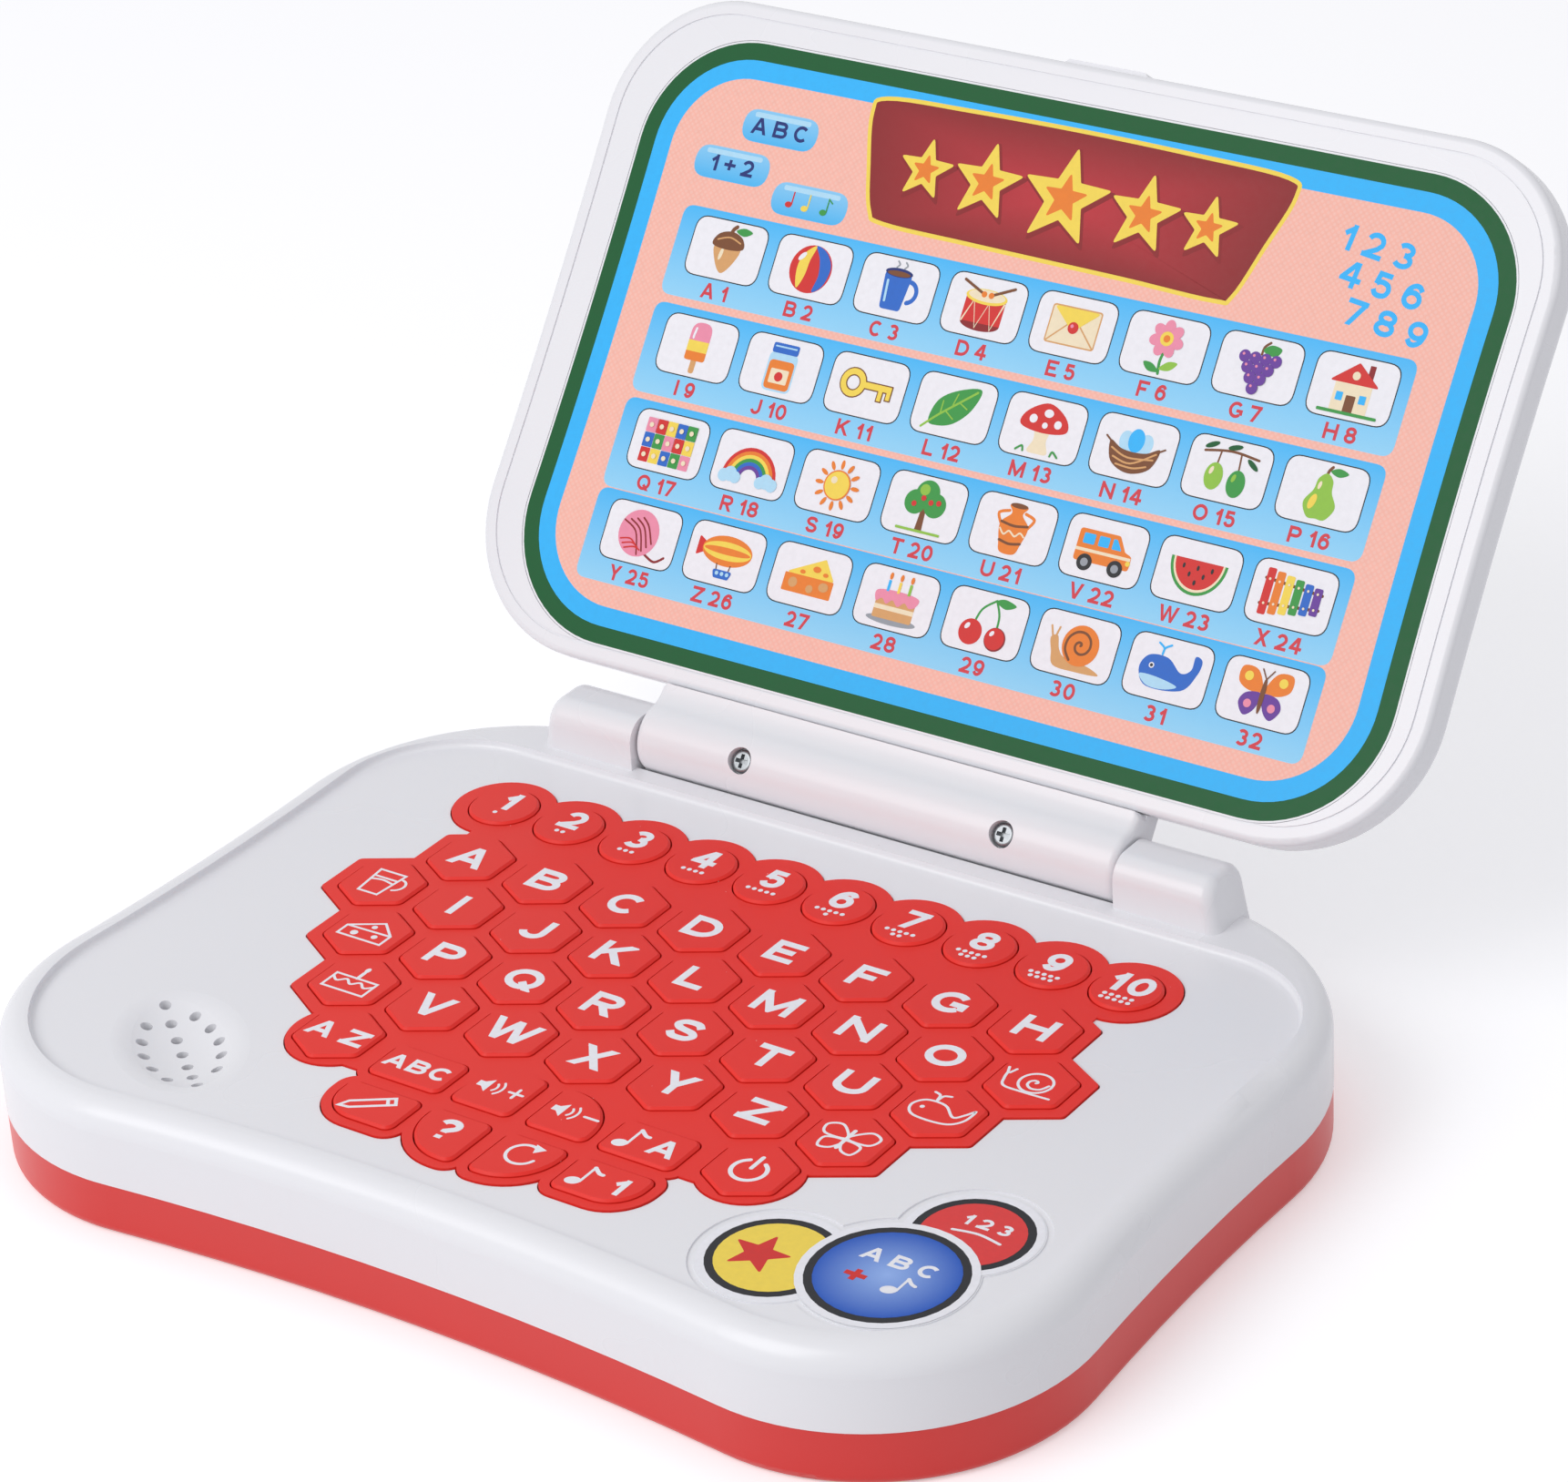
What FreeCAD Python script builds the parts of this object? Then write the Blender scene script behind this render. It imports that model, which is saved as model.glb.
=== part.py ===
import FreeCAD, Part
from collections import namedtuple
import math
import os

# Toy laptop computer: a white and red clamshell with a rubber key mat and a hinged picture lid.
# Millimetres. The origin is the middle of the base on the table, +X to the right of a person
# at the keys, +Y away from them towards the hinge, +Z up. The lid is stored open.

V = FreeCAD.Vector

# Key mat: the letter keys lie on a honeycomb, and the other keys take their places from it
key_pitch = 18.0
key_spacing = 3.0
key_corner = 1.6
key_row_y = 24.7
digit_count = 10
digit_pitch = 0.864 * key_pitch
digit_diameter = 13.6
digit_row_gap = 19.5
key_top_z = 26.0
key_edge = 0.45
key_gap = 0.3
key_travel = 0.8
contact_gap = 0.3
mat_rise = 0.35
mat_margin = 1.2
mat_digit_margin = 3.4
mat_lobe_margin = 2.2
mat_end_margin = 0.8
mat_valley_reach = 3.3
mat_cut_gap = 0.25
mat_flange = 2.5
mat_flange_thickness = 1.2
mat_seat_gap = 0.2

# Mode keys in front of the letters
mode_width = 16.0
mode_depth = 10.2
mode_x = 1.4 * key_pitch
mode_row_drop = 2.146
mode_row_pitch = 13.6
mode_corner = 1.8
mode_outer_corner = 7.0
dial_side = 13.0
dial_gap = 3.4
dial_outer_corner = 10.4
end_key_column = 2.5

# Places of the key rows, from the back row of letters to the front
row_step = key_pitch * math.sqrt(3) / 2
row_reach = 4 * key_pitch
key_flats = key_pitch - key_spacing
digit_row_y = key_row_y + digit_row_gap
third_row_y = key_row_y - 2 * row_step
fourth_row_y = key_row_y - 3 * row_step
end_row_y = key_row_y - 4 * row_step
mode_back_y = end_row_y - mode_row_drop
mode_front_y = mode_back_y - mode_row_pitch

# Base, seen from above, with its margins round the keys
case_front_margin = 26.6
case_back_margin = 36.4
case_side_margin = 38.3
case_front_y = mode_front_y - case_front_margin
case_back_y = digit_row_y + case_back_margin
case_waist_x = row_reach + case_side_margin
case_waist_y = 13.3
case_waist_radius = 598.0
case_front_corner = 41.3
case_back_corner = 45.6
case_front_dip_radius = 600.0

# Heights of the base
parting_z = 10.7
rim_z = 26.7
panel_drop = 1.6
rim_round = 5.4
bottom_round = 1.9
wall = 2.2
lower_inset = 0.15
lip_height = 2.0
lip_thickness = 1.2
lip_gap = 0.15

# Sunk top panel of the base
panel_margin = 6.0
panel_back_margin = 19.8
panel_back_y = digit_row_y + panel_back_margin
panel_back_corner = 24.0
panel_edge_round = 0.8

# Speaker and its dished grille
speaker_side_inset = 40.9
speaker_front_inset = 27.2
speaker_x = speaker_side_inset - case_waist_x
speaker_y = case_front_y + speaker_front_inset
speaker_radius = 16.0
speaker_height = 12.0
speaker_rim_thickness = 2.0
speaker_magnet_radius = 10.0
speaker_ring_wall = 2.0
speaker_ring_depth = 4.0
speaker_fit = 0.2
speaker_ring_radius = speaker_radius + speaker_fit + speaker_ring_wall
dish_half_length = 17.0
dish_half_width = 10.2
dish_depth = 3.0
dish_wall = 1.6
dish_rim_round = 8.0
dish_turn = -38.5
grille_hole = 2.2
grille_pitch = 4.9
grille_row_gap = 6.9
grille_row_counts = (5, 7, 5)
grille_row_bow = 1.8

# Circuit board and its screws
board_thickness = 1.2
board_back_margin = 9.8
board_front_margin = 10.6
board_side_margin = 14.0
board_step_margin = 12.0
board_step_drop = 9.5
board_speaker_gap = 3.4
board_screw_side = 8.0
board_screw_edge = 4.0
board_back_y = digit_row_y + board_back_margin
board_front_x = -speaker_x - speaker_radius - speaker_ring_wall - board_speaker_gap
board_steps = ((row_reach + board_side_margin, third_row_y - board_step_drop),
               (3 * key_pitch + board_step_margin, fourth_row_y - board_step_drop),
               (board_front_x, mode_front_y - board_front_margin))
board_screw_places = ((row_reach + board_screw_side, third_row_y - board_screw_edge),
                      (row_reach + board_side_margin - board_screw_edge, key_row_y + board_screw_edge),
                      (board_front_x - board_screw_edge, mode_front_y))
board_boss_radius = 2.6
board_screw_radius = 1.0
board_screw_grip = 2.8
chip_radius = 9.0
chip_height = 1.6

# Battery box, cells and door
cell_diameter = 14.5
cell_length = 49.2
cell_nub_radius = 2.75
cell_nub_length = 1.3
cell_count = 3
cell_gap = 0.6
contact_room = 3.6
contact_thickness = 0.4
contact_size = 11.0
battery_back_inset = 42.6
battery_y = case_back_y - battery_back_inset
battery_wall = 1.6
battery_roof = 1.4
door_thickness = 1.3
door_set_in = 0.3
door_ledge = 2.0
door_gap = 0.3
door_tongue_width = 13.0
door_tongue_length = 8.6
door_tongue_height = 3.6
door_screw_offset = 4.6
door_post_top = 13.0

# Screws that hold the two halves of the base
case_screw_side_inset = 14.3
case_screw_corner_inset = 16.3
case_screw_back_inset = 26.6
case_screw_front_inset = 11.0
case_screw_places = ((case_waist_x - case_screw_side_inset, case_front_y + 50.0),
                     (case_waist_x - case_screw_corner_inset, case_back_y - case_screw_back_inset),
                     (mode_x + 4.8, case_front_y + case_screw_front_inset))
case_screw_radius = 1.45
case_screw_head = 2.8
case_screw_head_height = 2.0
case_screw_length = 12.0
case_screw_sink = 3.0
case_post_radius = 4.4
case_boss_radius = 3.5
case_post_top = 9.0
screw_fit = 0.05
screw_pass = 0.3
joint_gap = 0.1
# Screw heads: their round rim and the floor of the cross as shares of the head's height,
# the reach and width of the cross as shares of the head's and the shank's radius
screw_head_round = 0.45
cross_floor = 0.15
cross_reach = 0.6
cross_width = 0.6

# Label pocket, three discs from the front middle round to the side
# Each disc has its inset from the side, its inset from the front and its radius
label_insets = ((47.5, 23.3, 13.3), (28.1, 28.4, 15.7), (22.4, 45.4, 12.5))
label_discs = tuple((case_waist_x - side, case_front_y + front, radius)
                    for side, front, radius in label_insets)
label_thickness = 0.25
label_pocket_depth = 0.35
label_pocket_margin = 1.2

# Hinge
hinge_x = -1.0
hinge_inset = 6.4
hinge_y = case_back_y - hinge_inset
hinge_z = 31.3
ear_inner_x = 54.6
ear_outer_x = 76.4
ear_draft = 2.0
ear_front_reach = 7.8
ear_back_reach = 5.4
ear_front_y = hinge_y - ear_front_reach
ear_back_y = hinge_y + ear_back_reach
ear_top_z = 36.6
ear_top_round = 4.5
ear_side_round = 2.5
pin_radius = 3.0
pin_length = 6.0
pin_clearance = 0.08
barrel_radius = 7.2
barrel_end_gap = 0.5
barrel_end_round = 1.5
trough_clearance = 0.5
cover_height = 3.2
cover_blend = 6.0
cover_gap = 0.1
neck_depth = 4.4
hinge_wall = 2.4
hinge_screw_x = 29.6
hinge_screw_drop = 0.8
hinge_screw_radius = 1.3
hinge_screw_head = 2.3
hinge_screw_head_height = 1.6
hinge_screw_length = 8.0
hinge_screw_sink = 0.9
hinge_boss_radius = 4.2

# Lid, drawn flat with the hinge axis as its X axis and the picture side up
lid_rest_tilt = 54.1
lid_x = -1.2
lid_low = 10.1
lid_front_inset = 9.6
lid_side_inset = 5.1
lid_high = hinge_y - case_front_y - lid_front_inset
lid_waist_x = case_waist_x - lid_side_inset
lid_waist_y = 85.0
lid_waist_radius = 1500.0
lid_low_corner = 28.8
lid_high_corner = 26.0
lid_face = 2.56
lid_thickness = 10.8
bezel_depth = 3.6
bezel_round = 1.3
lid_back_round = 5.0
lid_wall = 2.0
groove_inset = 3.0
groove_width = 0.5
groove_depth = 0.3
tab_width = 20.6
tab_reach = 1.5
tab_depth = 6.0
tab_slope = 2.0

# Printed sheet on the lid
sheet_low_margin = 3.4
sheet_high_margin = 7.5
sheet_side_margin = 8.3
sheet_low = lid_low + sheet_low_margin
sheet_high = lid_high - sheet_high_margin
sheet_x = 0.25
sheet_waist_x = lid_waist_x - sheet_side_margin
sheet_low_corner = 25.0
sheet_high_corner = 23.0
sheet_thickness = 0.4
sheet_pocket_depth = 0.45
sheet_gap = 0.15

# Heights that follow from the sizes above
panel_z = rim_z - panel_drop
panel_under_z = panel_z - wall
mat_top_z = panel_z + mat_rise
mat_flange_top_z = panel_under_z - mat_seat_gap
board_top_z = mat_flange_top_z - mat_flange_thickness
board_under_z = board_top_z - board_thickness
key_foot_z = board_top_z + key_travel + contact_gap
speaker_seat_z = panel_z - dish_depth - dish_wall - contact_gap
door_inner_z = door_set_in + door_thickness
cell_axis_z = door_inner_z + door_gap + cell_diameter / 2
battery_roof_z = cell_axis_z + cell_diameter / 2 + door_gap
battery_half_y = (cell_count * (cell_diameter + cell_gap) + cell_gap) / 2
battery_half_x = (cell_length + cell_nub_length) / 2 + contact_room
barrel_end_x = ear_inner_x - barrel_end_gap
lid_seam = lid_face - bezel_depth
lid_rear = lid_face - lid_thickness

# An outline with two pairs of round corners and hollow sides, mirrored about X = 0
Outline = namedtuple("Outline", "low high low_corner high_corner waist_x waist_y waist_radius dip_radius")

CASE = Outline(case_front_y, case_back_y, case_front_corner, case_back_corner,
               case_waist_x, case_waist_y, case_waist_radius, case_front_dip_radius)
PANEL = CASE._replace(low=case_front_y + panel_margin, high=panel_back_y,
                      low_corner=case_front_corner - panel_margin, high_corner=panel_back_corner,
                      waist_x=case_waist_x - panel_margin, waist_radius=case_waist_radius + panel_margin,
                      dip_radius=case_front_dip_radius + panel_margin)
LID = Outline(lid_low, lid_high, lid_low_corner, lid_high_corner,
              lid_waist_x, lid_waist_y, lid_waist_radius, None)
SHEET = LID._replace(low=sheet_low, high=sheet_high, waist_x=sheet_waist_x,
                     low_corner=sheet_low_corner, high_corner=sheet_high_corner)


def arc(start, middle, end):
    return Part.Arc(start, middle, end).toShape()


def corner_arc(centre, start, end):
    outward = (start - centre) + (end - centre)
    outward.normalize()
    return arc(start, centre + outward * (start - centre).Length, end)


def towards(start, target, distance):
    step = target - start
    step.normalize()
    return start + step * distance


def outline_face(outline, inset, z):
    """Face of an outline, moved inwards by inset and laid at height z."""
    waist = V(outline.waist_x + outline.waist_radius, outline.waist_y, 0)

    def corner_centre(y, radius):
        reach = outline.waist_radius + radius
        return V(waist.x - math.sqrt(reach ** 2 - (y - waist.y) ** 2), y, 0)

    low = corner_centre(outline.low + outline.low_corner, outline.low_corner)
    high = corner_centre(outline.high - outline.high_corner, outline.high_corner)
    low_radius = outline.low_corner - inset
    high_radius = outline.high_corner - inset
    low_side = towards(low, waist, low_radius)
    high_side = towards(high, waist, high_radius)
    high_end = high + V(0, high_radius, 0)
    flip = FreeCAD.Matrix(-1, 0, 0, 0, 0, 1, 0, 0, 0, 0, 1, 0, 0, 0, 0, 1)

    if outline.dip_radius:
        reach = outline.dip_radius + outline.low_corner
        dip = V(0, low.y - math.sqrt(reach ** 2 - low.x ** 2), 0)
        low_end = towards(low, dip, low_radius)
        middle = V(0, dip.y + outline.dip_radius + inset, 0)
        low_edge = arc(flip.multiply(low_end), middle, low_end)
    else:
        low_end = low - V(0, low_radius, 0)
        low_edge = Part.makeLine(flip.multiply(low_end), low_end)

    right = [corner_arc(low, low_end, low_side),
             arc(low_side, V(outline.waist_x - inset, outline.waist_y, 0), high_side),
             corner_arc(high, high_side, high_end)]
    left = [edge.transformGeometry(flip) for edge in right]
    high_edge = Part.makeLine(high_end, flip.multiply(high_end))
    wire = Part.Wire(Part.__sortEdges__([low_edge] + right + [high_edge] + left))
    face = Part.Face(wire)
    face.translate(V(0, 0, z))
    return face


def outline_block(outline, inset, low_z, high_z):
    return outline_face(outline, inset, low_z).extrude(V(0, 0, high_z - low_z))


def ring_block(outline, outer_inset, inner_inset, low_z, high_z):
    return outline_block(outline, outer_inset, low_z, high_z).cut(
        outline_block(outline, inner_inset, low_z, high_z))


def rounded_face(points, radii):
    """Flat face of a polygon, given counter-clockwise, with a radius at each corner."""
    edges = []
    starts, ends = [], []
    count = len(points)
    for index, point in enumerate(points):
        before = points[index - 1] - point
        after = points[(index + 1) % count] - point
        half_angle = before.getAngle(after) / 2
        run = radii[index] / math.tan(half_angle)
        starts.append(towards(point, points[index - 1], run))
        ends.append(towards(point, points[(index + 1) % count], run))
        bisector = before.normalize() + after.normalize()
        bisector.normalize()
        depth = radii[index] / math.sin(half_angle) - radii[index]
        edges.append(arc(starts[index], point + bisector * depth, ends[index]))
    lines = []
    for index in range(count):
        start, end = ends[index], starts[(index + 1) % count]
        if (end - start).Length > 1e-6:
            lines.append(Part.makeLine(start, end))
    return Part.Face(Part.Wire(Part.__sortEdges__(edges + lines)))


def disc_face(x, y, radius):
    return Part.Face(Part.Wire(Part.makeCircle(radius, V(x, y, 0))))


def raised(face, low_z, high_z):
    block = face.extrude(V(0, 0, high_z - low_z))
    block.translate(V(0, 0, low_z))
    return block


def grown(face, margin):
    return face.makeOffset2D(margin)


def box(low, high):
    return Part.makeBox(high[0] - low[0], high[1] - low[1], high[2] - low[2], V(*low))


def column(x, y, radius, low_z, high_z):
    return Part.makeCylinder(radius, high_z - low_z, V(x, y, low_z))


def rod(radius, low_x, high_x, y=0, z=0):
    return Part.makeCylinder(radius, high_x - low_x, V(low_x, y, z), V(1, 0, 0))


def joined(shapes):
    whole = shapes[0].multiFuse(shapes[1:])
    return whole.removeSplitter()


def both_sides(places):
    return [(side * x, y) for x, y in places for side in (-1, 1)]


def edges_at_z(shape, z):
    return [edge for edge in shape.Edges
            if abs(edge.BoundBox.ZMin - z) < 1e-4 and abs(edge.BoundBox.ZMax - z) < 1e-4]


def screw(radius, length, head_radius, head_height):
    """Cross-head screw with its seat at the origin, its shank up and its head down."""
    shank = Part.makeCylinder(radius, length)
    head = Part.makeCylinder(head_radius, head_height, V(0, 0, -head_height))
    head = head.makeFillet(head_height * screw_head_round, edges_at_z(head, -head_height))
    reach, half, floor = head_radius * cross_reach, radius * cross_width / 2, head_height * cross_floor
    slot = box((-reach, -half, -2 * head_height), (reach, half, -floor))
    cross = slot.copy()
    cross.rotate(V(0, 0, 0), V(0, 0, 1), 90)
    return shank.fuse(head).removeSplitter().cut(slot).cut(cross)


# Key shapes, each a flat face at its place


def hex_face(x, y, flats, corner):
    reach = flats / math.sqrt(3)
    turns = [math.radians(90 + 60 * step) for step in range(6)]
    points = [V(x + reach * math.cos(turn), y + reach * math.sin(turn), 0) for turn in turns]
    return rounded_face(points, [corner] * 6)


def mode_face(side, y, outer_corner):
    """Key of the rows in front of the letters; outer_corner rounds its front outer end."""
    x = side * mode_x
    low = V(x - mode_width / 2, y - mode_depth / 2, 0)
    high = V(x + mode_width / 2, y + mode_depth / 2, 0)
    radii = [mode_corner] * 4
    radii[0 if side < 0 else 1] = outer_corner
    return rounded_face([low, V(high.x, low.y, 0), high, V(low.x, high.y, 0)], radii)


def dial_face(side_x, side_y):
    """Quarter of the round four-key group in the front middle."""
    centre_y = (mode_back_y + mode_front_y) / 2
    near, far = dial_gap / 2, dial_gap / 2 + dial_side
    corners = [(near, near, mode_corner), (far, near, mode_corner),
               (far, far, dial_outer_corner), (near, far, mode_corner)]
    if side_x * side_y < 0:
        corners.reverse()
    points = [V(side_x * x, centre_y + side_y * y, 0) for x, y, radius in corners]
    return rounded_face(points, [radius for x, y, radius in corners])


def letter_rows():
    """Hexagon places by row: letters by name, picture keys as a star."""
    rows = ("ABCDEFGH", "*IJKLMNO*", "*PQRSTU*", "*VWXYZ*")
    places = []
    for row, names in enumerate(rows):
        y = key_row_y - row * row_step
        for column_index, name in enumerate(names):
            places.append((name, (column_index - (len(names) - 1) / 2) * key_pitch, y))
    return places


def digit_x(digit):
    return (digit - (digit_count - 1) / 2) * digit_pitch


def end_key_place(side):
    return side * end_key_column * key_pitch, end_row_y


def key_faces():
    """Faces of all keys, grouped by the name of the node they belong to."""
    groups = {"picture_keys": [], "mode_keys": [], "song_keys": []}
    for name, x, y in letter_rows():
        face = hex_face(x, y, key_flats, key_corner)
        if name == "*":
            groups["picture_keys"].append(face)
        else:
            groups["key_" + name.lower()] = [face]
    for digit in range(digit_count):
        groups["key_%d" % (digit + 1)] = [disc_face(digit_x(digit), digit_row_y, digit_diameter / 2)]
    left_x, left_y = end_key_place(-1)
    right_x, right_y = end_key_place(1)
    groups["mode_keys"] = [hex_face(left_x, left_y, key_flats, key_corner),
                           mode_face(-1, mode_back_y, mode_corner),
                           mode_face(-1, mode_front_y, mode_outer_corner),
                           dial_face(-1, -1), dial_face(1, -1)]
    groups["song_keys"] = [mode_face(1, mode_back_y, mode_corner),
                           mode_face(1, mode_front_y, mode_outer_corner)]
    groups["key_volume_up"] = [dial_face(-1, 1)]
    groups["key_volume_down"] = [dial_face(1, 1)]
    groups["key_power"] = [hex_face(right_x, right_y, key_flats, key_corner)]
    return groups


def mat_block(extra, low_z, high_z):
    """The mat's plan, grown by extra on every side, between two heights."""
    faces = []
    for name, x, y in letter_rows():
        faces.append(hex_face(x, y, key_pitch + 2 * (mat_margin + extra), mat_margin))
    for digit in range(digit_count):
        radius = digit_diameter / 2 + mat_digit_margin + extra
        faces.append(disc_face(digit_x(digit), digit_row_y, radius))
    for side in (-1, 1):
        x, y = end_key_place(side)
        faces.append(disc_face(x, y, key_pitch / 2 + mat_end_margin + extra))
        for key in (mode_face(side, mode_back_y, mode_corner),
                    mode_face(side, mode_front_y, mode_outer_corner),
                    dial_face(side, 1), dial_face(side, -1)):
            faces.append(grown(key, mat_lobe_margin + extra))
    blocks = [raised(face, low_z, high_z) for face in faces]
    # Fillers between the round keys, the hexagons and the front rows
    end_x, end_y = end_key_place(1)
    front_low = mode_back_y - mode_depth / 2 - extra
    fill_x = end_x + mat_margin
    blocks.append(box((-fill_x, front_low, low_z), (fill_x, key_row_y - 2 * key_pitch, high_z)))
    valley_y = mode_front_y - mat_valley_reach - extra
    blocks.append(box((-mode_x, valley_y, low_z), (mode_x, mode_back_y, high_z)))
    back_half = digit_x(digit_count - 1)
    blocks.append(box((-back_half, key_row_y, low_z), (back_half, digit_row_y, high_z)))
    return joined(blocks)


def key_solid(face):
    block = raised(face, key_foot_z, key_top_z)
    return block.makeChamfer(key_edge, edges_at_z(block, key_top_z))


def keypad_web(groups):
    """Still part of the mat: a slab with a well for each key and a flange under the case."""
    slab = mat_block(0, board_top_z, mat_top_z)
    flange = mat_block(mat_flange, board_top_z, mat_flange_top_z)
    speaker_ring = column(speaker_x, speaker_y, speaker_ring_radius + mat_cut_gap,
                          board_top_z, mat_flange_top_z)
    flange = flange.cut(speaker_ring)
    wells = []
    for faces in groups.values():
        wells += [raised(grown(face, key_gap), board_top_z, key_top_z) for face in faces]
    return slab.fuse(flange).removeSplitter().cut(Part.Compound(wells))


# Base


def grille_holes():
    """Centres of the grille holes about the dish's middle, long way first."""
    places = []
    middle_row = (len(grille_row_counts) - 1) / 2
    for row, count in enumerate(grille_row_counts):
        side = row - middle_row
        for index in range(count):
            along = (index - (count - 1) / 2) * grille_pitch
            bow = grille_row_bow * (1 - (along / dish_half_length) ** 2 * 4)
            places.append((along, side * (grille_row_gap - grille_row_bow + bow)))
    return places


def dish_tool(thickness):
    """Barrel whose underside, thickened, is the dish; its middle lies over the speaker."""
    long_radius = (dish_half_length ** 2 + dish_depth ** 2) / (2 * dish_depth)
    turn_radius = (dish_half_width ** 2 + dish_depth ** 2) / (2 * dish_depth)
    end_rise = turn_radius - dish_depth
    low = turn_radius + thickness
    reach = math.sqrt((long_radius + thickness) ** 2 - (long_radius + thickness - low + end_rise) ** 2)
    profile = [Part.makeLine(V(-reach, 0, 0), V(-reach, 0, -end_rise)),
               arc(V(-reach, 0, -end_rise), V(0, 0, -low), V(reach, 0, -end_rise)),
               Part.makeLine(V(reach, 0, -end_rise), V(reach, 0, 0)),
               Part.makeLine(V(reach, 0, 0), V(-reach, 0, 0))]
    barrel = Part.Face(Part.Wire(profile)).revolve(V(0, 0, 0), V(1, 0, 0), 360)
    return placed_on_speaker(barrel, panel_z + end_rise)


def rolled_dish():
    """The dish as it is cut from the panel, with its rim rolled over into the panel's face."""
    reach = dish_half_length + dish_rim_round
    below = box((speaker_x - reach, speaker_y - reach, panel_z - dish_depth),
                (speaker_x + reach, speaker_y + reach, panel_z))
    plate = column(speaker_x, speaker_y, reach, panel_z, panel_z + dish_depth)
    tool = plate.fuse(dish_tool(0).common(below)).removeSplitter()
    rim = [edge for edge in edges_at_z(tool, panel_z) if edge.BoundBox.DiagonalLength < 2 * reach]
    return tool.makeFillet(dish_rim_round, rim).common(below)


def placed_on_speaker(shape, z):
    shape.rotate(V(0, 0, 0), V(0, 0, 1), dish_turn)
    shape.translate(V(speaker_x, speaker_y, z))
    return shape


def hinge_ear(side):
    """Rounded block on the back of the case with the pivot pin on its inner face."""
    block = box((ear_inner_x, ear_front_y, panel_under_z), (ear_outer_x, ear_back_y, ear_top_z))
    top_edges = [edge for edge in edges_at_z(block, ear_top_z) if edge.BoundBox.XLength > 1]
    block = block.makeFillet(ear_top_round, top_edges)
    lean = Part.Face(Part.makePolygon([V(ear_outer_x, 0, rim_z), V(ear_outer_x + 2 * ear_draft, 0, rim_z),
                                       V(ear_outer_x + 2 * ear_draft, 0, ear_top_z),
                                       V(ear_outer_x - ear_draft, 0, ear_top_z), V(ear_outer_x, 0, rim_z)]))
    block = block.cut(lean.extrude(V(0, 2 * ear_back_y, 0)))
    outer_edges = [edge for edge in block.Edges
                   if edge.BoundBox.XMin > ear_outer_x - 1.1 * ear_draft and edge.BoundBox.ZMin > rim_z - 1e-4
                   and edge.BoundBox.ZMax > rim_z + 1e-4]
    block = block.makeFillet(ear_side_round, outer_edges)
    pin = rod(pin_radius, ear_inner_x - pin_length, ear_inner_x, hinge_y, hinge_z)
    ear = block.fuse(pin)
    if side < 0:
        ear = ear.mirror(V(0, 0, 0), V(1, 0, 0))
    ear.translate(V(hinge_x, 0, 0))
    return ear


def upper_case():
    outer = outline_block(CASE, 0, parting_z, rim_z)
    outer = outer.makeFillet(rim_round, edges_at_z(outer, rim_z))
    shell = outer.cut(outline_block(CASE, wall, parting_z, panel_under_z))
    panel = outline_block(PANEL, 0, panel_z, rim_z)
    panel = panel.makeFillet(panel_edge_round, edges_at_z(panel, panel_z))
    shell = shell.cut(panel)

    trough = rod(barrel_radius + trough_clearance, hinge_x - ear_inner_x, hinge_x + ear_inner_x,
                 hinge_y, hinge_z)
    shell = shell.cut(trough)
    bosses = [column(x, y, case_boss_radius, case_post_top + joint_gap, panel_under_z)
              for x, y in both_sides(case_screw_places)]
    bosses += [column(x, y, board_boss_radius, board_top_z, panel_under_z)
               for x, y in both_sides(board_screw_places)]
    reach, ring_low_z = speaker_ring_radius, speaker_seat_z - speaker_ring_depth
    ring = column(speaker_x, speaker_y, reach, ring_low_z, panel_under_z)
    under_panel = box((speaker_x - reach, speaker_y - reach, ring_low_z),
                      (speaker_x + reach, speaker_y + reach, panel_z))
    bowl = dish_tool(dish_wall).common(under_panel)
    shell = shell.multiFuse(bosses + [hinge_ear(-1), hinge_ear(1), ring, bowl]).removeSplitter()

    cuts = [mat_block(mat_cut_gap, panel_under_z - wall, key_top_z), rolled_dish()]
    cuts.append(column(speaker_x, speaker_y, speaker_radius + speaker_fit, ring_low_z, speaker_seat_z))
    for x, y in both_sides(case_screw_places):
        cuts.append(column(x, y, case_screw_radius + screw_fit, case_post_top,
                           case_screw_sink + case_screw_head_height + case_screw_length + joint_gap))
    for x, y in both_sides(board_screw_places):
        cuts.append(column(x, y, board_screw_radius + screw_fit, board_top_z,
                           board_top_z + board_screw_grip))
    for along, across in grille_holes():
        hole = Part.makeCylinder(grille_hole / 2, panel_z - speaker_seat_z, V(along, across, 0))
        cuts.append(placed_on_speaker(hole, speaker_seat_z))
    for x, y, radius in label_discs:
        cuts.append(column(x, y, radius + label_pocket_margin, panel_z - label_pocket_depth, panel_z))
    return shell.cut(Part.Compound(cuts))


def label_badges():
    base_z = panel_z - label_pocket_depth
    return joined([column(x, y, radius, base_z, base_z + label_thickness) for x, y, radius in label_discs])


def door_outline(margin, low_z, high_z, tongue_z):
    """The battery door's plan, grown by margin: a plate and the tongue that takes the screw."""
    half_x = battery_half_x + door_ledge + margin
    half_y = battery_half_y + door_ledge + margin
    front = battery_y - half_y
    plate = box((-half_x, front, low_z), (half_x, battery_y + half_y, high_z))
    tongue = box((-door_tongue_width / 2 - margin, front - door_tongue_length, low_z),
                 (door_tongue_width / 2 + margin, front + wall + 2 * margin, tongue_z))
    return plate.fuse(tongue).removeSplitter()


def door_screw_y():
    return battery_y - battery_half_y - door_ledge - door_screw_offset


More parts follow.
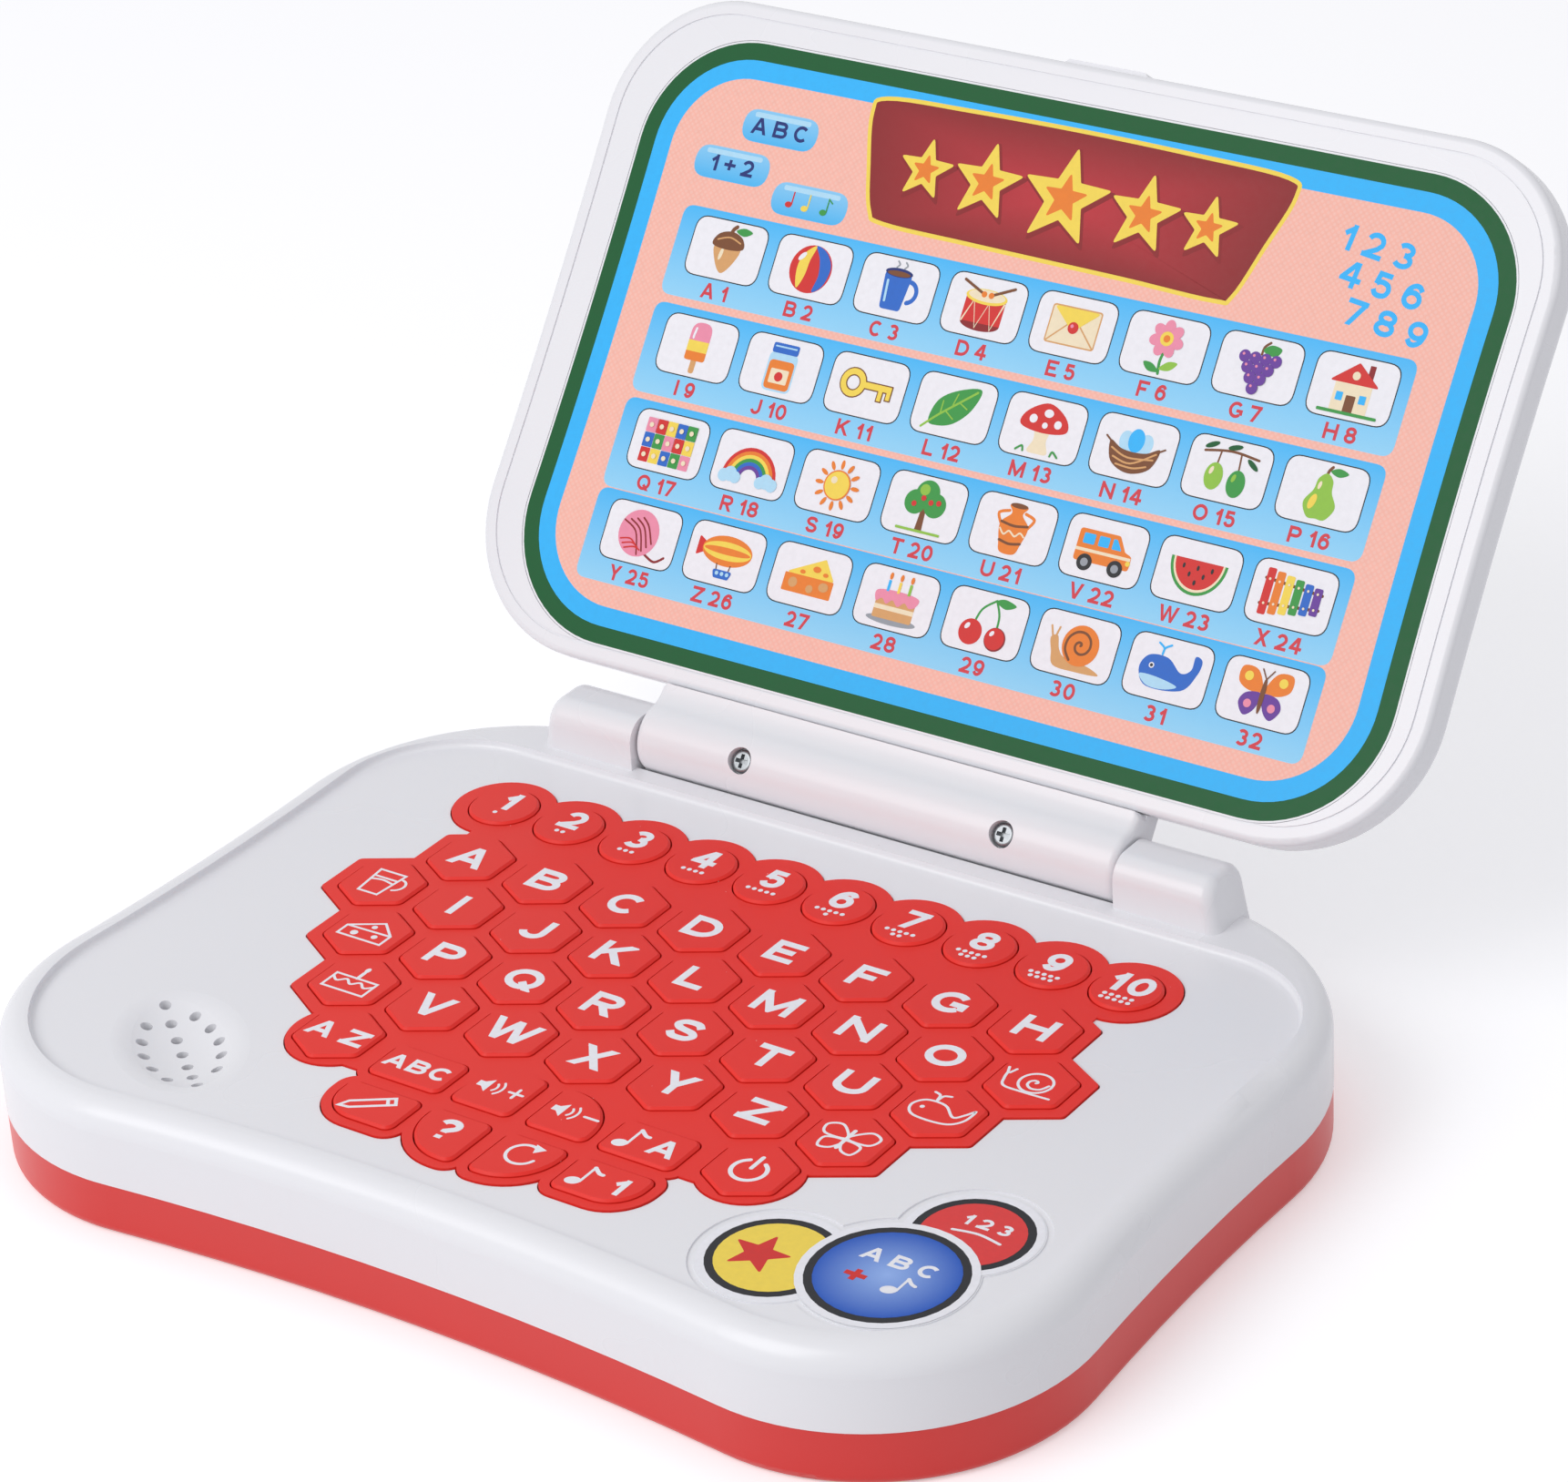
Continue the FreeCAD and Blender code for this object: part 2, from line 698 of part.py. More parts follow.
def lower_case():
    outer = outline_block(CASE, lower_inset, 0, parting_z)
    outer = outer.makeFillet(bottom_round, edges_at_z(outer, 0))
    tray = outer.cut(outline_block(CASE, lower_inset + wall, wall, parting_z))
    lip_outer = wall + lip_gap
    lip = ring_block(CASE, lip_outer, lip_outer + lip_thickness,
                     parting_z - lip_height, parting_z + lip_height)
    seat = ring_block(CASE, lower_inset + wall / 2, lip_outer + lip_thickness,
                      parting_z - lip_height, parting_z)
    tray = tray.fuse(lip).fuse(seat)

    posts = [column(x, y, case_post_radius, wall / 2, case_post_top)
             for x, y in both_sides(case_screw_places)]
    outer_x, outer_y = battery_half_x + battery_wall, battery_half_y + battery_wall
    posts.append(box((-outer_x, battery_y - outer_y, wall / 2),
                     (outer_x, battery_y + outer_y, battery_roof_z + battery_roof)))
    screw_y = door_screw_y()
    posts.append(column(0, screw_y, case_post_radius, wall / 2, door_post_top))
    posts.append(box((-battery_wall, screw_y, wall),
                     (battery_wall, battery_y - battery_half_y, door_post_top)))
    tray = tray.multiFuse(posts).removeSplitter()

    cuts = [box((-battery_half_x, battery_y - battery_half_y, 0),
                (battery_half_x, battery_y + battery_half_y, battery_roof_z))]
    tongue_top = door_set_in + door_tongue_height
    cuts.append(door_outline(door_gap, 0, door_inner_z, tongue_top + joint_gap))
    seat_z = door_set_in + door_screw_seat()
    cuts.append(column(0, screw_y, case_screw_radius + screw_fit, 0,
                       seat_z + door_screw_length() + joint_gap))
    seat_z = case_screw_sink + case_screw_head_height
    for x, y in both_sides(case_screw_places):
        cuts.append(column(x, y, case_screw_head + screw_pass, 0, seat_z))
        cuts.append(column(x, y, case_screw_radius + screw_pass, 0, case_post_top))
    return tray.cut(Part.Compound(cuts))


def door_screw_seat():
    return case_screw_head_height + joint_gap


def door_screw_length():
    return case_screw_length * 0.7


def battery_door():
    top = door_set_in + door_tongue_height
    door = door_outline(0, door_set_in, door_inner_z, top)
    screw_y = door_screw_y()
    seat_z = door_set_in + door_screw_seat()
    door = door.cut(column(0, screw_y, case_screw_head + screw_pass, door_set_in, seat_z))
    return door.cut(column(0, screw_y, case_screw_radius + screw_pass, door_set_in, top))


def battery_door_screw():
    part = screw(case_screw_radius, door_screw_length(), case_screw_head, case_screw_head_height)
    part.translate(V(0, door_screw_y(), door_set_in + door_screw_seat()))
    return part


def case_screws():
    parts = []
    for x, y in both_sides(case_screw_places):
        part = screw(case_screw_radius, case_screw_length, case_screw_head, case_screw_head_height)
        part.translate(V(x, y, case_screw_sink + case_screw_head_height))
        parts.append(part)
    return Part.Compound(parts)


def cell_rows():
    return [(battery_y + (row - (cell_count - 1) / 2) * (cell_diameter + cell_gap), 1 - 2 * (row % 2))
            for row in range(cell_count)]


def battery_cells():
    """Cells side by side, each turned end for end against its neighbour."""
    cells = []
    for y, facing in cell_rows():
        body = rod(cell_diameter / 2, -cell_length / 2, cell_length / 2)
        rims = [edge for edge in body.Edges if edge.BoundBox.XLength < 1e-4]
        body = body.makeFillet(contact_thickness, rims)
        nub = rod(cell_nub_radius, cell_length / 2, cell_length / 2 + cell_nub_length)
        cell = body.fuse(nub)
        if facing < 0:
            cell = cell.mirror(V(0, 0, 0), V(1, 0, 0))
        cell.translate(V(0, y, cell_axis_z))
        cells.append(cell)
    return Part.Compound(cells)


def battery_contacts():
    """A flat plate at each nub and a plate with a coned spring at each flat end."""
    parts = []
    half = contact_size / 2
    for y, facing in cell_rows():
        for end in (-1, 1):
            plate = box((battery_half_x - contact_thickness, -half, -half), (battery_half_x, half, half))
            reach = cell_length / 2 if end * facing < 0 else cell_length / 2 + cell_nub_length
            radius = cell_diameter / 4 if end * facing < 0 else cell_nub_radius
            spring = Part.makeCone(half * 0.9, radius, battery_half_x - contact_thickness - reach,
                                   V(battery_half_x - contact_thickness, 0, 0), V(-1, 0, 0))
            part = plate.fuse(spring).removeSplitter()
            if end < 0:
                part = part.mirror(V(0, 0, 0), V(1, 0, 0))
            part.translate(V(0, y, cell_axis_z))
            parts.append(part)
    return Part.Compound(parts)


def circuit_board():
    high_y = board_back_y
    slabs = []
    for half_x, low_y in board_steps:
        slabs.append(box((-half_x, low_y, board_under_z), (half_x, high_y, board_top_z)))
        high_y = low_y
    board = joined(slabs)
    chip = column(0, mode_back_y, chip_radius, board_under_z - chip_height, board_under_z)
    chip = chip.makeFillet(chip_height * 0.8, edges_at_z(chip, board_under_z - chip_height))
    holes = [column(x, y, board_screw_radius + screw_pass, board_under_z, board_top_z)
             for x, y in both_sides(board_screw_places)]
    return board.cut(Part.Compound(holes)).fuse(chip).removeSplitter()


def board_screws():
    parts = []
    for x, y in both_sides(board_screw_places):
        part = screw(board_screw_radius, board_thickness + board_screw_grip - joint_gap,
                     board_screw_radius * 2, board_screw_radius * 1.2)
        part.translate(V(x, y, board_under_z))
        parts.append(part)
    return Part.Compound(parts)


def speaker():
    """Small round driver, face up: rim, tapered basket and magnet."""
    low_z = speaker_seat_z - speaker_height
    rim_low = speaker_seat_z - speaker_rim_thickness
    magnet_top = low_z + speaker_height * 0.4
    rim = column(speaker_x, speaker_y, speaker_radius, rim_low, speaker_seat_z)
    basket = Part.makeCone(speaker_magnet_radius, speaker_radius - speaker_rim_thickness, rim_low - magnet_top,
                           V(speaker_x, speaker_y, magnet_top))
    magnet = column(speaker_x, speaker_y, speaker_magnet_radius, low_z, magnet_top)
    cone_depth = speaker_height * 0.35
    cone = Part.makeCone(speaker_magnet_radius / 2, speaker_radius - speaker_rim_thickness, cone_depth,
                         V(speaker_x, speaker_y, speaker_seat_z - cone_depth))
    return joined([rim, basket, magnet]).cut(cone)


# Lid, drawn flat and then stood at its rest tilt about the hinge axis


def stood(shape):
    shape.rotate(V(0, 0, 0), V(1, 0, 0), lid_rest_tilt)
    shape.translate(V(hinge_x, hinge_y, hinge_z))
    return shape


def lid_front():
    bezel = outline_block(LID, 0, lid_seam, lid_face)
    bezel = bezel.makeFillet(bezel_round, edges_at_z(bezel, lid_face))
    under = lid_face - lid_wall
    bezel = bezel.cut(outline_block(LID, lid_wall, lid_seam, under))
    groove = ring_block(LID, groove_inset, groove_inset + groove_width, lid_face - groove_depth, lid_face)
    pocket = outline_block(SHEET, -sheet_gap, lid_face - sheet_pocket_depth, lid_face)
    pocket.translate(V(sheet_x, 0, 0))
    lip = ring_block(LID, lid_wall + lip_gap, lid_wall + lip_gap + lip_thickness,
                     lid_seam - lip_height, under)
    bezel = bezel.cut(groove).fuse(lip)
    bezel.translate(V(lid_x, 0, 0))
    return stood(bezel.cut(pocket).removeSplitter())


def printed_sheet():
    base = lid_face - sheet_pocket_depth
    sheet = outline_block(SHEET, 0, base, base + sheet_thickness)
    sheet.translate(V(sheet_x, 0, 0))
    return stood(sheet)


def hinge_bores():
    radius = pin_radius + pin_clearance
    depth = pin_length + joint_gap
    return [rod(radius, barrel_end_x - depth, barrel_end_x), rod(radius, -barrel_end_x, depth - barrel_end_x)]


def hinge_half(plate_end, plate_low, plate_high):
    """Solid half of the hinge barrel with its plate, before it is hollowed."""
    rises = plate_high > 0
    barrel = rod(barrel_radius, -barrel_end_x, barrel_end_x)
    keep_low = 0 if rises else -2 * barrel_radius
    keep = box((-ear_inner_x, -2 * barrel_radius, keep_low),
               (ear_inner_x, 2 * barrel_radius, keep_low + 2 * barrel_radius))
    plate = box((-barrel_end_x, 0, plate_low), (barrel_end_x, plate_end, plate_high))
    return barrel.common(keep).fuse(plate).removeSplitter()


def hinge_pocket(plate_end, low_z, high_z):
    """Hollow of a hinge half, with the screw bosses left standing."""
    half_x = barrel_end_x - pin_length - hinge_wall
    low_y = -math.sqrt((barrel_radius - hinge_wall) ** 2 - pin_radius ** 2)
    hollow = box((-half_x, low_y, low_z), (half_x, plate_end - hinge_wall, high_z))
    for side in (-1, 1):
        hollow = hollow.cut(column(side * hinge_screw_x, -hinge_screw_drop, hinge_boss_radius, low_z, high_z))
    return hollow


def hinge_cover():
    end = lid_low - cover_gap
    half = hinge_half(end, 0, cover_height)
    meeting_y = math.sqrt(barrel_radius ** 2 - cover_height ** 2)
    fold = [edge for edge in half.Edges
            if edge.BoundBox.XLength > barrel_end_x and abs(edge.BoundBox.YMin - meeting_y) < 0.01
            and abs(edge.BoundBox.ZMin - cover_height) < 0.01]
    half = half.makeFillet(cover_blend, fold)
    end_edges = [edge for edge in half.Edges
                 if edge.BoundBox.XLength < 1e-4 and edge.BoundBox.ZMax > joint_gap]
    half = half.makeFillet(barrel_end_round, end_edges)
    half = half.cut(hinge_pocket(end, 0, cover_height - hinge_wall))
    seat = hinge_screw_seat()
    for side in (-1, 1):
        x = side * hinge_screw_x
        half = half.cut(column(x, -hinge_screw_drop, hinge_screw_head + screw_pass, seat, barrel_radius))
        half = half.cut(column(x, -hinge_screw_drop, hinge_screw_radius + screw_pass, 0, seat))
    return stood(half.cut(Part.Compound(hinge_bores())))


def hinge_screw_seat():
    return barrel_radius - hinge_screw_sink - hinge_screw_head_height


def hinge_screws():
    parts = []
    for side in (-1, 1):
        part = screw(hinge_screw_radius, hinge_screw_length, hinge_screw_head, hinge_screw_head_height)
        part.rotate(V(0, 0, 0), V(1, 0, 0), 180)
        part.translate(V(side * hinge_screw_x, -hinge_screw_drop, hinge_screw_seat()))
        parts.append(part)
    return stood(Part.Compound(parts))


def lid_back():
    shell = outline_block(LID, 0, lid_rear, lid_seam)
    shell = shell.makeFillet(lid_back_round, edges_at_z(shell, lid_rear))
    shell = shell.cut(outline_block(LID, lid_wall, lid_rear + lid_wall, lid_seam))
    end = lid_low - cover_gap
    neck = hinge_half(end, -neck_depth, 0)
    neck = neck.cut(hinge_pocket(end, hinge_wall - neck_depth, 0))
    root = box((-barrel_end_x, end - hinge_wall, -neck_depth), (barrel_end_x, lid_low + lid_wall, lid_seam))
    tab_half = tab_width / 2
    tab_top = lid_seam - bezel_round
    tab_root = lid_high - lid_wall
    tab_tip = lid_high + tab_reach
    tab = Part.Face(Part.makePolygon([V(-tab_half, tab_root, 0), V(tab_half, tab_root, 0),
                                      V(tab_half, lid_high, 0), V(tab_half - tab_slope, tab_tip, 0),
                                      V(tab_slope - tab_half, tab_tip, 0), V(-tab_half, lid_high, 0),
                                      V(-tab_half, tab_root, 0)]))
    shell = shell.fuse(raised(tab, tab_top - tab_depth, tab_top))
    shell.translate(V(lid_x, 0, 0))
    shell = shell.multiFuse([neck, root]).removeSplitter()
    cuts = hinge_bores()
    for side in (-1, 1):
        pilot = hinge_screw_length - hinge_screw_seat() + joint_gap
        cuts.append(column(side * hinge_screw_x, -hinge_screw_drop,
                           hinge_screw_radius + screw_fit, -pilot, 0))
    return stood(shell.cut(Part.Compound(cuts)))


def build():
    groups = key_faces()
    nodes = {
        "upper_case": upper_case(),
        "lower_case": lower_case(),
        "label_badges": label_badges(),
        "keypad_web": keypad_web(groups),
        "circuit_board": circuit_board(),
        "board_screws": board_screws(),
        "speaker": speaker(),
        "battery_cells": battery_cells(),
        "battery_contacts": battery_contacts(),
        "battery_door": battery_door(),
        "battery_door_screw": battery_door_screw(),
        "case_screws": case_screws(),
        "lid_front": lid_front(),
        "lid_back": lid_back(),
        "printed_sheet": printed_sheet(),
        "hinge_cover": hinge_cover(),
        "hinge_screws": hinge_screws(),
    }
    for name, faces in groups.items():
        solids = [key_solid(face) for face in faces]
        nodes[name] = solids[0] if len(solids) == 1 else Part.Compound(solids)
    return nodes


def main():
    os.makedirs("parts", exist_ok=True)
    for name, shape in build().items():
        shape.exportStep(os.path.join("parts", name + ".step"))


main()
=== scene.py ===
"""Looks of a toy laptop computer: its finishes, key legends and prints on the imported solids."""

import logging
import math
import string
from abc import ABC, abstractmethod
from collections.abc import Sequence
from dataclasses import dataclass, field
from enum import Enum

import bmesh
import bpy
from mathutils import Euler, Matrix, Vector
from mathutils.geometry import delaunay_2d_cdt

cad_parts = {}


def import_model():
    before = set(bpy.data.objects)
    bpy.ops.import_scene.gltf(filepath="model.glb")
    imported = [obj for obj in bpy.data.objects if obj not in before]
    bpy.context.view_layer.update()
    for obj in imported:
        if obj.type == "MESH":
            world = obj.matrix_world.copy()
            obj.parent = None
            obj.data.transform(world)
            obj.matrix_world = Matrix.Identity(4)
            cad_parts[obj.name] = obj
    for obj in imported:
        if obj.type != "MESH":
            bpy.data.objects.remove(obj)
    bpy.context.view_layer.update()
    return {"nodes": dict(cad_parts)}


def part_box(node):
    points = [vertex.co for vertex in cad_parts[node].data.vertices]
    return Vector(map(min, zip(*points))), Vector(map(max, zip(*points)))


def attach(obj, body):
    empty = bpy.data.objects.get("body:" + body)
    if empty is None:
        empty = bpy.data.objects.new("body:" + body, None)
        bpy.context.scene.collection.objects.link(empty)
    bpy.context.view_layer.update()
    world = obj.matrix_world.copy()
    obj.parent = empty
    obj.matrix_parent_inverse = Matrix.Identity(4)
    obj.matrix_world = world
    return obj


LOG = logging.getLogger("toy_laptop")
MM = 0.001
Point = tuple[float, float]
Loop = list[Point]
# An outline, and the hole in it or None
Film = tuple[Loop, Loop | None]
Colour = tuple[float, float, float, float]


def linear(hex_colour: str) -> Colour:
    """Turns an sRGB colour into the linear one that shaders take.

    Args:
        hex_colour: colour as "#RRGGBB".

    Returns:
        Red, green, blue and an alpha of 1.
    """
    parts = [int(hex_colour[place:place + 2], 16) / 255 for place in (1, 3, 5)]
    red, green, blue = (part / 12.92 if part <= 0.04045 else ((part + 0.055) / 1.055) ** 2.4
                        for part in parts)
    return red, green, blue, 1.0


def add_node(tree: bpy.types.NodeTree, kind: str, settings: dict | None = None,
             inputs: dict | None = None) -> bpy.types.Node:
    """Adds one node to a tree, with its settings, socket values and links.

    Args:
        tree: tree that gets the node.
        kind: Blender's name for the type of node.
        settings: values of the node's own properties.
        inputs: a value, or the output socket to link, for each input by name or number.

    Returns:
        The new node.
    """
    node = tree.nodes.new(kind)
    for name, value in (settings or {}).items():
        setattr(node, name, value)
    for name, value in (inputs or {}).items():
        if isinstance(value, bpy.types.NodeSocket):
            tree.links.new(value, node.inputs[name])
        else:
            node.inputs[name].default_value = value
    return node


def per_metre(size_mm: float) -> float:
    """Texture scale at which one cell of a pattern is size_mm wide."""
    return 1 / (size_mm * MM)


def new_material(name: str) -> tuple[bpy.types.Material, bpy.types.NodeTree]:
    """Makes an empty node material.

    Args:
        name: name of the material.

    Returns:
        The material and its emptied node tree.
    """
    material = bpy.data.materials.new(name)
    material.use_nodes = True
    material.node_tree.nodes.clear()
    return material, material.node_tree


def close_material(tree: bpy.types.NodeTree, shader: bpy.types.Node) -> None:
    """Links a shader to the material's output."""
    add_node(tree, "ShaderNodeOutputMaterial", None, {"Surface": shader.outputs[0]})


# Finishes


@dataclass(frozen=True)
class Finish(ABC):
    """Look of a surface, which becomes a node material of the same name."""

    name: str

    @abstractmethod
    def shader(self, tree: bpy.types.NodeTree) -> bpy.types.Node:
        """Adds the finish's nodes.

        Args:
            tree: the empty tree of its material.

        Returns:
            The shader they lead to.
        """

    def material(self) -> bpy.types.Material:
        """Makes the finish's material, or finds it where it was made before.

        Returns:
            The material.
        """
        known = bpy.data.materials.get(self.name)
        if known:
            return known
        material, tree = new_material(self.name)
        close_material(tree, self.shader(tree))
        return material


@dataclass(frozen=True)
class MouldedFinish(Finish):
    """Skin of a moulded plastic or rubber: a faint cloud in the tint, mould ripple and dust specks."""

    colour: str
    cloud: str
    speck: str
    roughness: float
    ior: float
    cloud_mm: float
    ripple_mm: float
    ripple_depth_mm: float
    speck_mm: float
    speck_gap_mm: float
    speck_share: float
    roughness_swing: float = 0.06
    cloud_detail: float = 3.0
    ripple_detail: float = 2.0

    def shader(self, tree: bpy.types.NodeTree) -> bpy.types.Node:
        """Adds the cloud, specks and ripple.

        Args:
            tree: the empty tree of its material.

        Returns:
            The shader they lead to.
        """
        place = add_node(tree, "ShaderNodeTexCoord").outputs["Object"]
        cloud = add_node(tree, "ShaderNodeTexNoise", None,
                         {"Vector": place, "Scale": per_metre(self.cloud_mm), "Detail": self.cloud_detail})
        tint = add_node(tree, "ShaderNodeMix", {"data_type": "RGBA"},
                        {0: cloud.outputs[0], 6: linear(self.cloud), 7: linear(self.colour)})
        cells = add_node(tree, "ShaderNodeTexVoronoi", None,
                         {"Vector": place, "Scale": per_metre(self.speck_gap_mm)})
        near = add_node(tree, "ShaderNodeMath", {"operation": "LESS_THAN"},
                        {0: cells.outputs["Distance"], 1: self.speck_mm / 2 / self.speck_gap_mm})
        pick = add_node(tree, "ShaderNodeSeparateColor", None, {0: cells.outputs["Color"]})
        chosen = add_node(tree, "ShaderNodeMath", {"operation": "LESS_THAN"},
                          {0: pick.outputs[0], 1: self.speck_share})
        mask = add_node(tree, "ShaderNodeMath", {"operation": "MULTIPLY"},
                        {0: near.outputs[0], 1: chosen.outputs[0]})
        dusted = add_node(tree, "ShaderNodeMix", {"data_type": "RGBA"},
                          {0: mask.outputs[0], 6: tint.outputs[2], 7: linear(self.speck)})
        ripple = add_node(tree, "ShaderNodeTexNoise", None,
                          {"Vector": place, "Scale": per_metre(self.ripple_mm),
                           "Detail": self.ripple_detail})
        rough = add_node(tree, "ShaderNodeMapRange", None,
                         {"Value": cloud.outputs[0], "To Min": self.roughness - self.roughness_swing,
                          "To Max": self.roughness + self.roughness_swing})
        bump = add_node(tree, "ShaderNodeBump", None,
                        {"Height": ripple.outputs[0], "Strength": 1.0,
                         "Distance": self.ripple_depth_mm * MM})
        return add_node(tree, "ShaderNodeBsdfPrincipled", None,
                        {"Base Color": dusted.outputs[2], "Roughness": rough.outputs[0], "IOR": self.ior,
                         "Normal": bump.outputs[0]})


@dataclass(frozen=True)
class InkFinish(Finish):
    """Printed ink: its colour with a faint mottle or a fade, and the dots of its screen where they show."""

    colour: str
    fade: str | None
    screen: tuple[float, float] | None
    tilt_deg: float
    roughness: float = 0.42
    roughness_swing: float = 0.06
    specular: float = 0.25
    mottle_mm: float = 1.2
    mottle_share: float = 0.06
    mottle_detail: float = 2.0
    screen_turn_deg: float = 45.0
    dot_edges: Point = (0.25, 0.45)

    def shader(self, tree: bpy.types.NodeTree) -> bpy.types.Node:
        """Adds the mottle or fade, and the screen where there is one.

        Args:
            tree: the empty tree of its material.

        Returns:
            The shader they lead to.
        """
        place = add_node(tree, "ShaderNodeTexCoord").outputs["Object"]
        mottle = add_node(tree, "ShaderNodeTexNoise", None,
                          {"Vector": place, "Scale": per_metre(self.mottle_mm),
                           "Detail": self.mottle_detail})
        red, green, blue, _ = linear(self.colour)
        thin, full = ((red * tone, green * tone, blue * tone, 1.0)
                      for tone in (1 - self.mottle_share, 1 + self.mottle_share))
        share = mottle.outputs[0]
        if self.fade:
            thin, full = linear(self.fade), linear(self.colour)
            share = add_node(tree, "ShaderNodeAttribute", {"attribute_name": "shade"}).outputs["Fac"]
        ink = add_node(tree, "ShaderNodeMix", {"data_type": "RGBA"}, {0: share, 6: thin, 7: full})
        if self.screen:
            ink = self.screened(tree, place, ink)
        rough = add_node(tree, "ShaderNodeMapRange", None,
                         {"Value": mottle.outputs[0], "To Min": self.roughness - self.roughness_swing,
                          "To Max": self.roughness + self.roughness_swing})
        return add_node(tree, "ShaderNodeBsdfPrincipled", None,
                        {"Base Color": ink.outputs[2], "Roughness": rough.outputs[0],
                         "Specular IOR Level": self.specular})

    def screened(self, tree: bpy.types.NodeTree, place: bpy.types.NodeSocket,
                 ink: bpy.types.Node) -> bpy.types.Node:
        """Breaks an ink up with the pale dots of its screen.

        Args:
            tree: tree of the material.
            place: socket that gives the place on the piece.
            ink: node that gives the ink's colour.

        Returns:
            The node that gives the screened colour.
        """
        pitch_mm, depth = self.screen
        turn = (math.radians(-self.tilt_deg), 0.0, math.radians(self.screen_turn_deg))
        flat = add_node(tree, "ShaderNodeMapping", None, {"Vector": place, "Rotation": turn})
        dots = add_node(tree, "ShaderNodeTexVoronoi", {"voronoi_dimensions": "2D"},
                        {"Vector": flat.outputs[0], "Scale": per_metre(pitch_mm), "Randomness": 0.0})
        near, far = self.dot_edges
        cover = add_node(tree, "ShaderNodeMapRange", None,
                         {"Value": dots.outputs["Distance"], "From Min": near, "From Max": far,
                          "To Min": depth, "To Max": 0.0})
        return add_node(tree, "ShaderNodeMix", {"data_type": "RGBA"},
                        {0: cover.outputs[0], 6: ink.outputs[2], 7: linear("#FFFFFF")})


@dataclass(frozen=True)
class MetalFinish(Finish):
    """Plated or rolled metal with a fine grain across it."""

    colour: str
    shadow: str
    roughness: float
    grain_mm: float
    grain_depth_mm: float = 0.01
    grain_detail: float = 4.0
    roughness_swing: float = 0.1

    def shader(self, tree: bpy.types.NodeTree) -> bpy.types.Node:
        """Adds the grain.

        Args:
            tree: the empty tree of its material.

        Returns:
            The shader it leads to.
        """
        place = add_node(tree, "ShaderNodeTexCoord").outputs["Object"]
        grain = add_node(tree, "ShaderNodeTexNoise", None,
                         {"Vector": place, "Scale": per_metre(self.grain_mm), "Detail": self.grain_detail})
        tone = add_node(tree, "ShaderNodeMix", {"data_type": "RGBA"},
                        {0: grain.outputs[0], 6: linear(self.shadow), 7: linear(self.colour)})
        rough = add_node(tree, "ShaderNodeMapRange", None,
                         {"Value": grain.outputs[0], "To Min": self.roughness - self.roughness_swing,
                          "To Max": self.roughness + self.roughness_swing})
        bump = add_node(tree, "ShaderNodeBump", None,
                        {"Height": grain.outputs[0], "Strength": 1.0, "Distance": self.grain_depth_mm * MM})
        return add_node(tree, "ShaderNodeBsdfPrincipled", None,
                        {"Base Color": tone.outputs[2], "Metallic": 1.0, "Roughness": rough.outputs[0],
                         "Normal": bump.outputs[0]})


# White ABS from a polished mould: glossy, with a barely seen ripple and a few grey dust specks
WHITE_ABS = MouldedFinish("white_abs_moulded", colour="#F1F1F4", cloud="#ECECF0", speck="#A9A9AE",
                          roughness=0.27, ior=1.53, cloud_mm=60.0, ripple_mm=1.6,
                          ripple_depth_mm=0.003, speck_mm=0.35, speck_gap_mm=14.0, speck_share=0.30)
# Red ABS of the lower case: the same mould finish, a little duller
RED_ABS = MouldedFinish("red_abs_moulded", colour="#DE312C", cloud="#D82C28", speck="#E88A86",
                        roughness=0.33, ior=1.53, cloud_mm=40.0, ripple_mm=1.4,
                        ripple_depth_mm=0.003, speck_mm=0.25, speck_gap_mm=9.0, speck_share=0.30)
# Red silicone of the key mat: satin, holds pale dust
RED_SILICONE = MouldedFinish("red_silicone_moulded", colour="#F22F25", cloud="#EA2A20", speck="#F0B9B4",
                             roughness=0.48, ior=1.41, cloud_mm=30.0, ripple_mm=0.5,
                             ripple_depth_mm=0.004, speck_mm=0.22, speck_gap_mm=3.6, speck_share=0.22)
# Clear-coated white card and film that carry the prints
WHITE_CARD = MouldedFinish("white_laminated_card", colour="#F3F4F7", cloud="#EEEFF3", speck="#E6E6EA",
                           roughness=0.38, ior=1.49, cloud_mm=25.0, ripple_mm=0.9,
                           ripple_depth_mm=0.001, speck_mm=0.2, speck_gap_mm=8.0, speck_share=0.1)
# Green solder mask over the woven glass of a circuit board
BOARD_LAMINATE = MouldedFinish("green_board_laminate", colour="#1F6B3C", cloud="#18552F", speck="#C9B26A",
                               roughness=0.35, ior=1.5, cloud_mm=6.0, ripple_mm=0.6,
                               ripple_depth_mm=0.004, speck_mm=1.2, speck_gap_mm=5.0, speck_share=0.6)
# Shrink-wrapped jacket of a battery cell
CELL_JACKET = MouldedFinish("cell_wrapper_film", colour="#2B2D33", cloud="#24262B", speck="#55585F",
                            roughness=0.3, ior=1.5, cloud_mm=12.0, ripple_mm=0.8,
                            ripple_depth_mm=0.002, speck_mm=0.2, speck_gap_mm=6.0, speck_share=0.2)
# Black paper cone and pressed basket of a small speaker
SPEAKER_BLACK = MouldedFinish("speaker_paper_black", colour="#3A3B3E", cloud="#2E2F32", speck="#4C4D50",
                              roughness=0.6, ior=1.45, cloud_mm=5.0, ripple_mm=0.7,
                              ripple_depth_mm=0.02, speck_mm=0.2, speck_gap_mm=3.0, speck_share=0.2)
# Zinc-plated screw steel and nickel-plated spring steel
ZINC_STEEL = MetalFinish("zinc_plated_steel", "#A2A5A8", "#7C7F83", roughness=0.34, grain_mm=0.5)
NICKEL_STEEL = MetalFinish("nickel_plated_spring_steel", "#CFCBC2", "#B4B0A8", roughness=0.28, grain_mm=0.8)


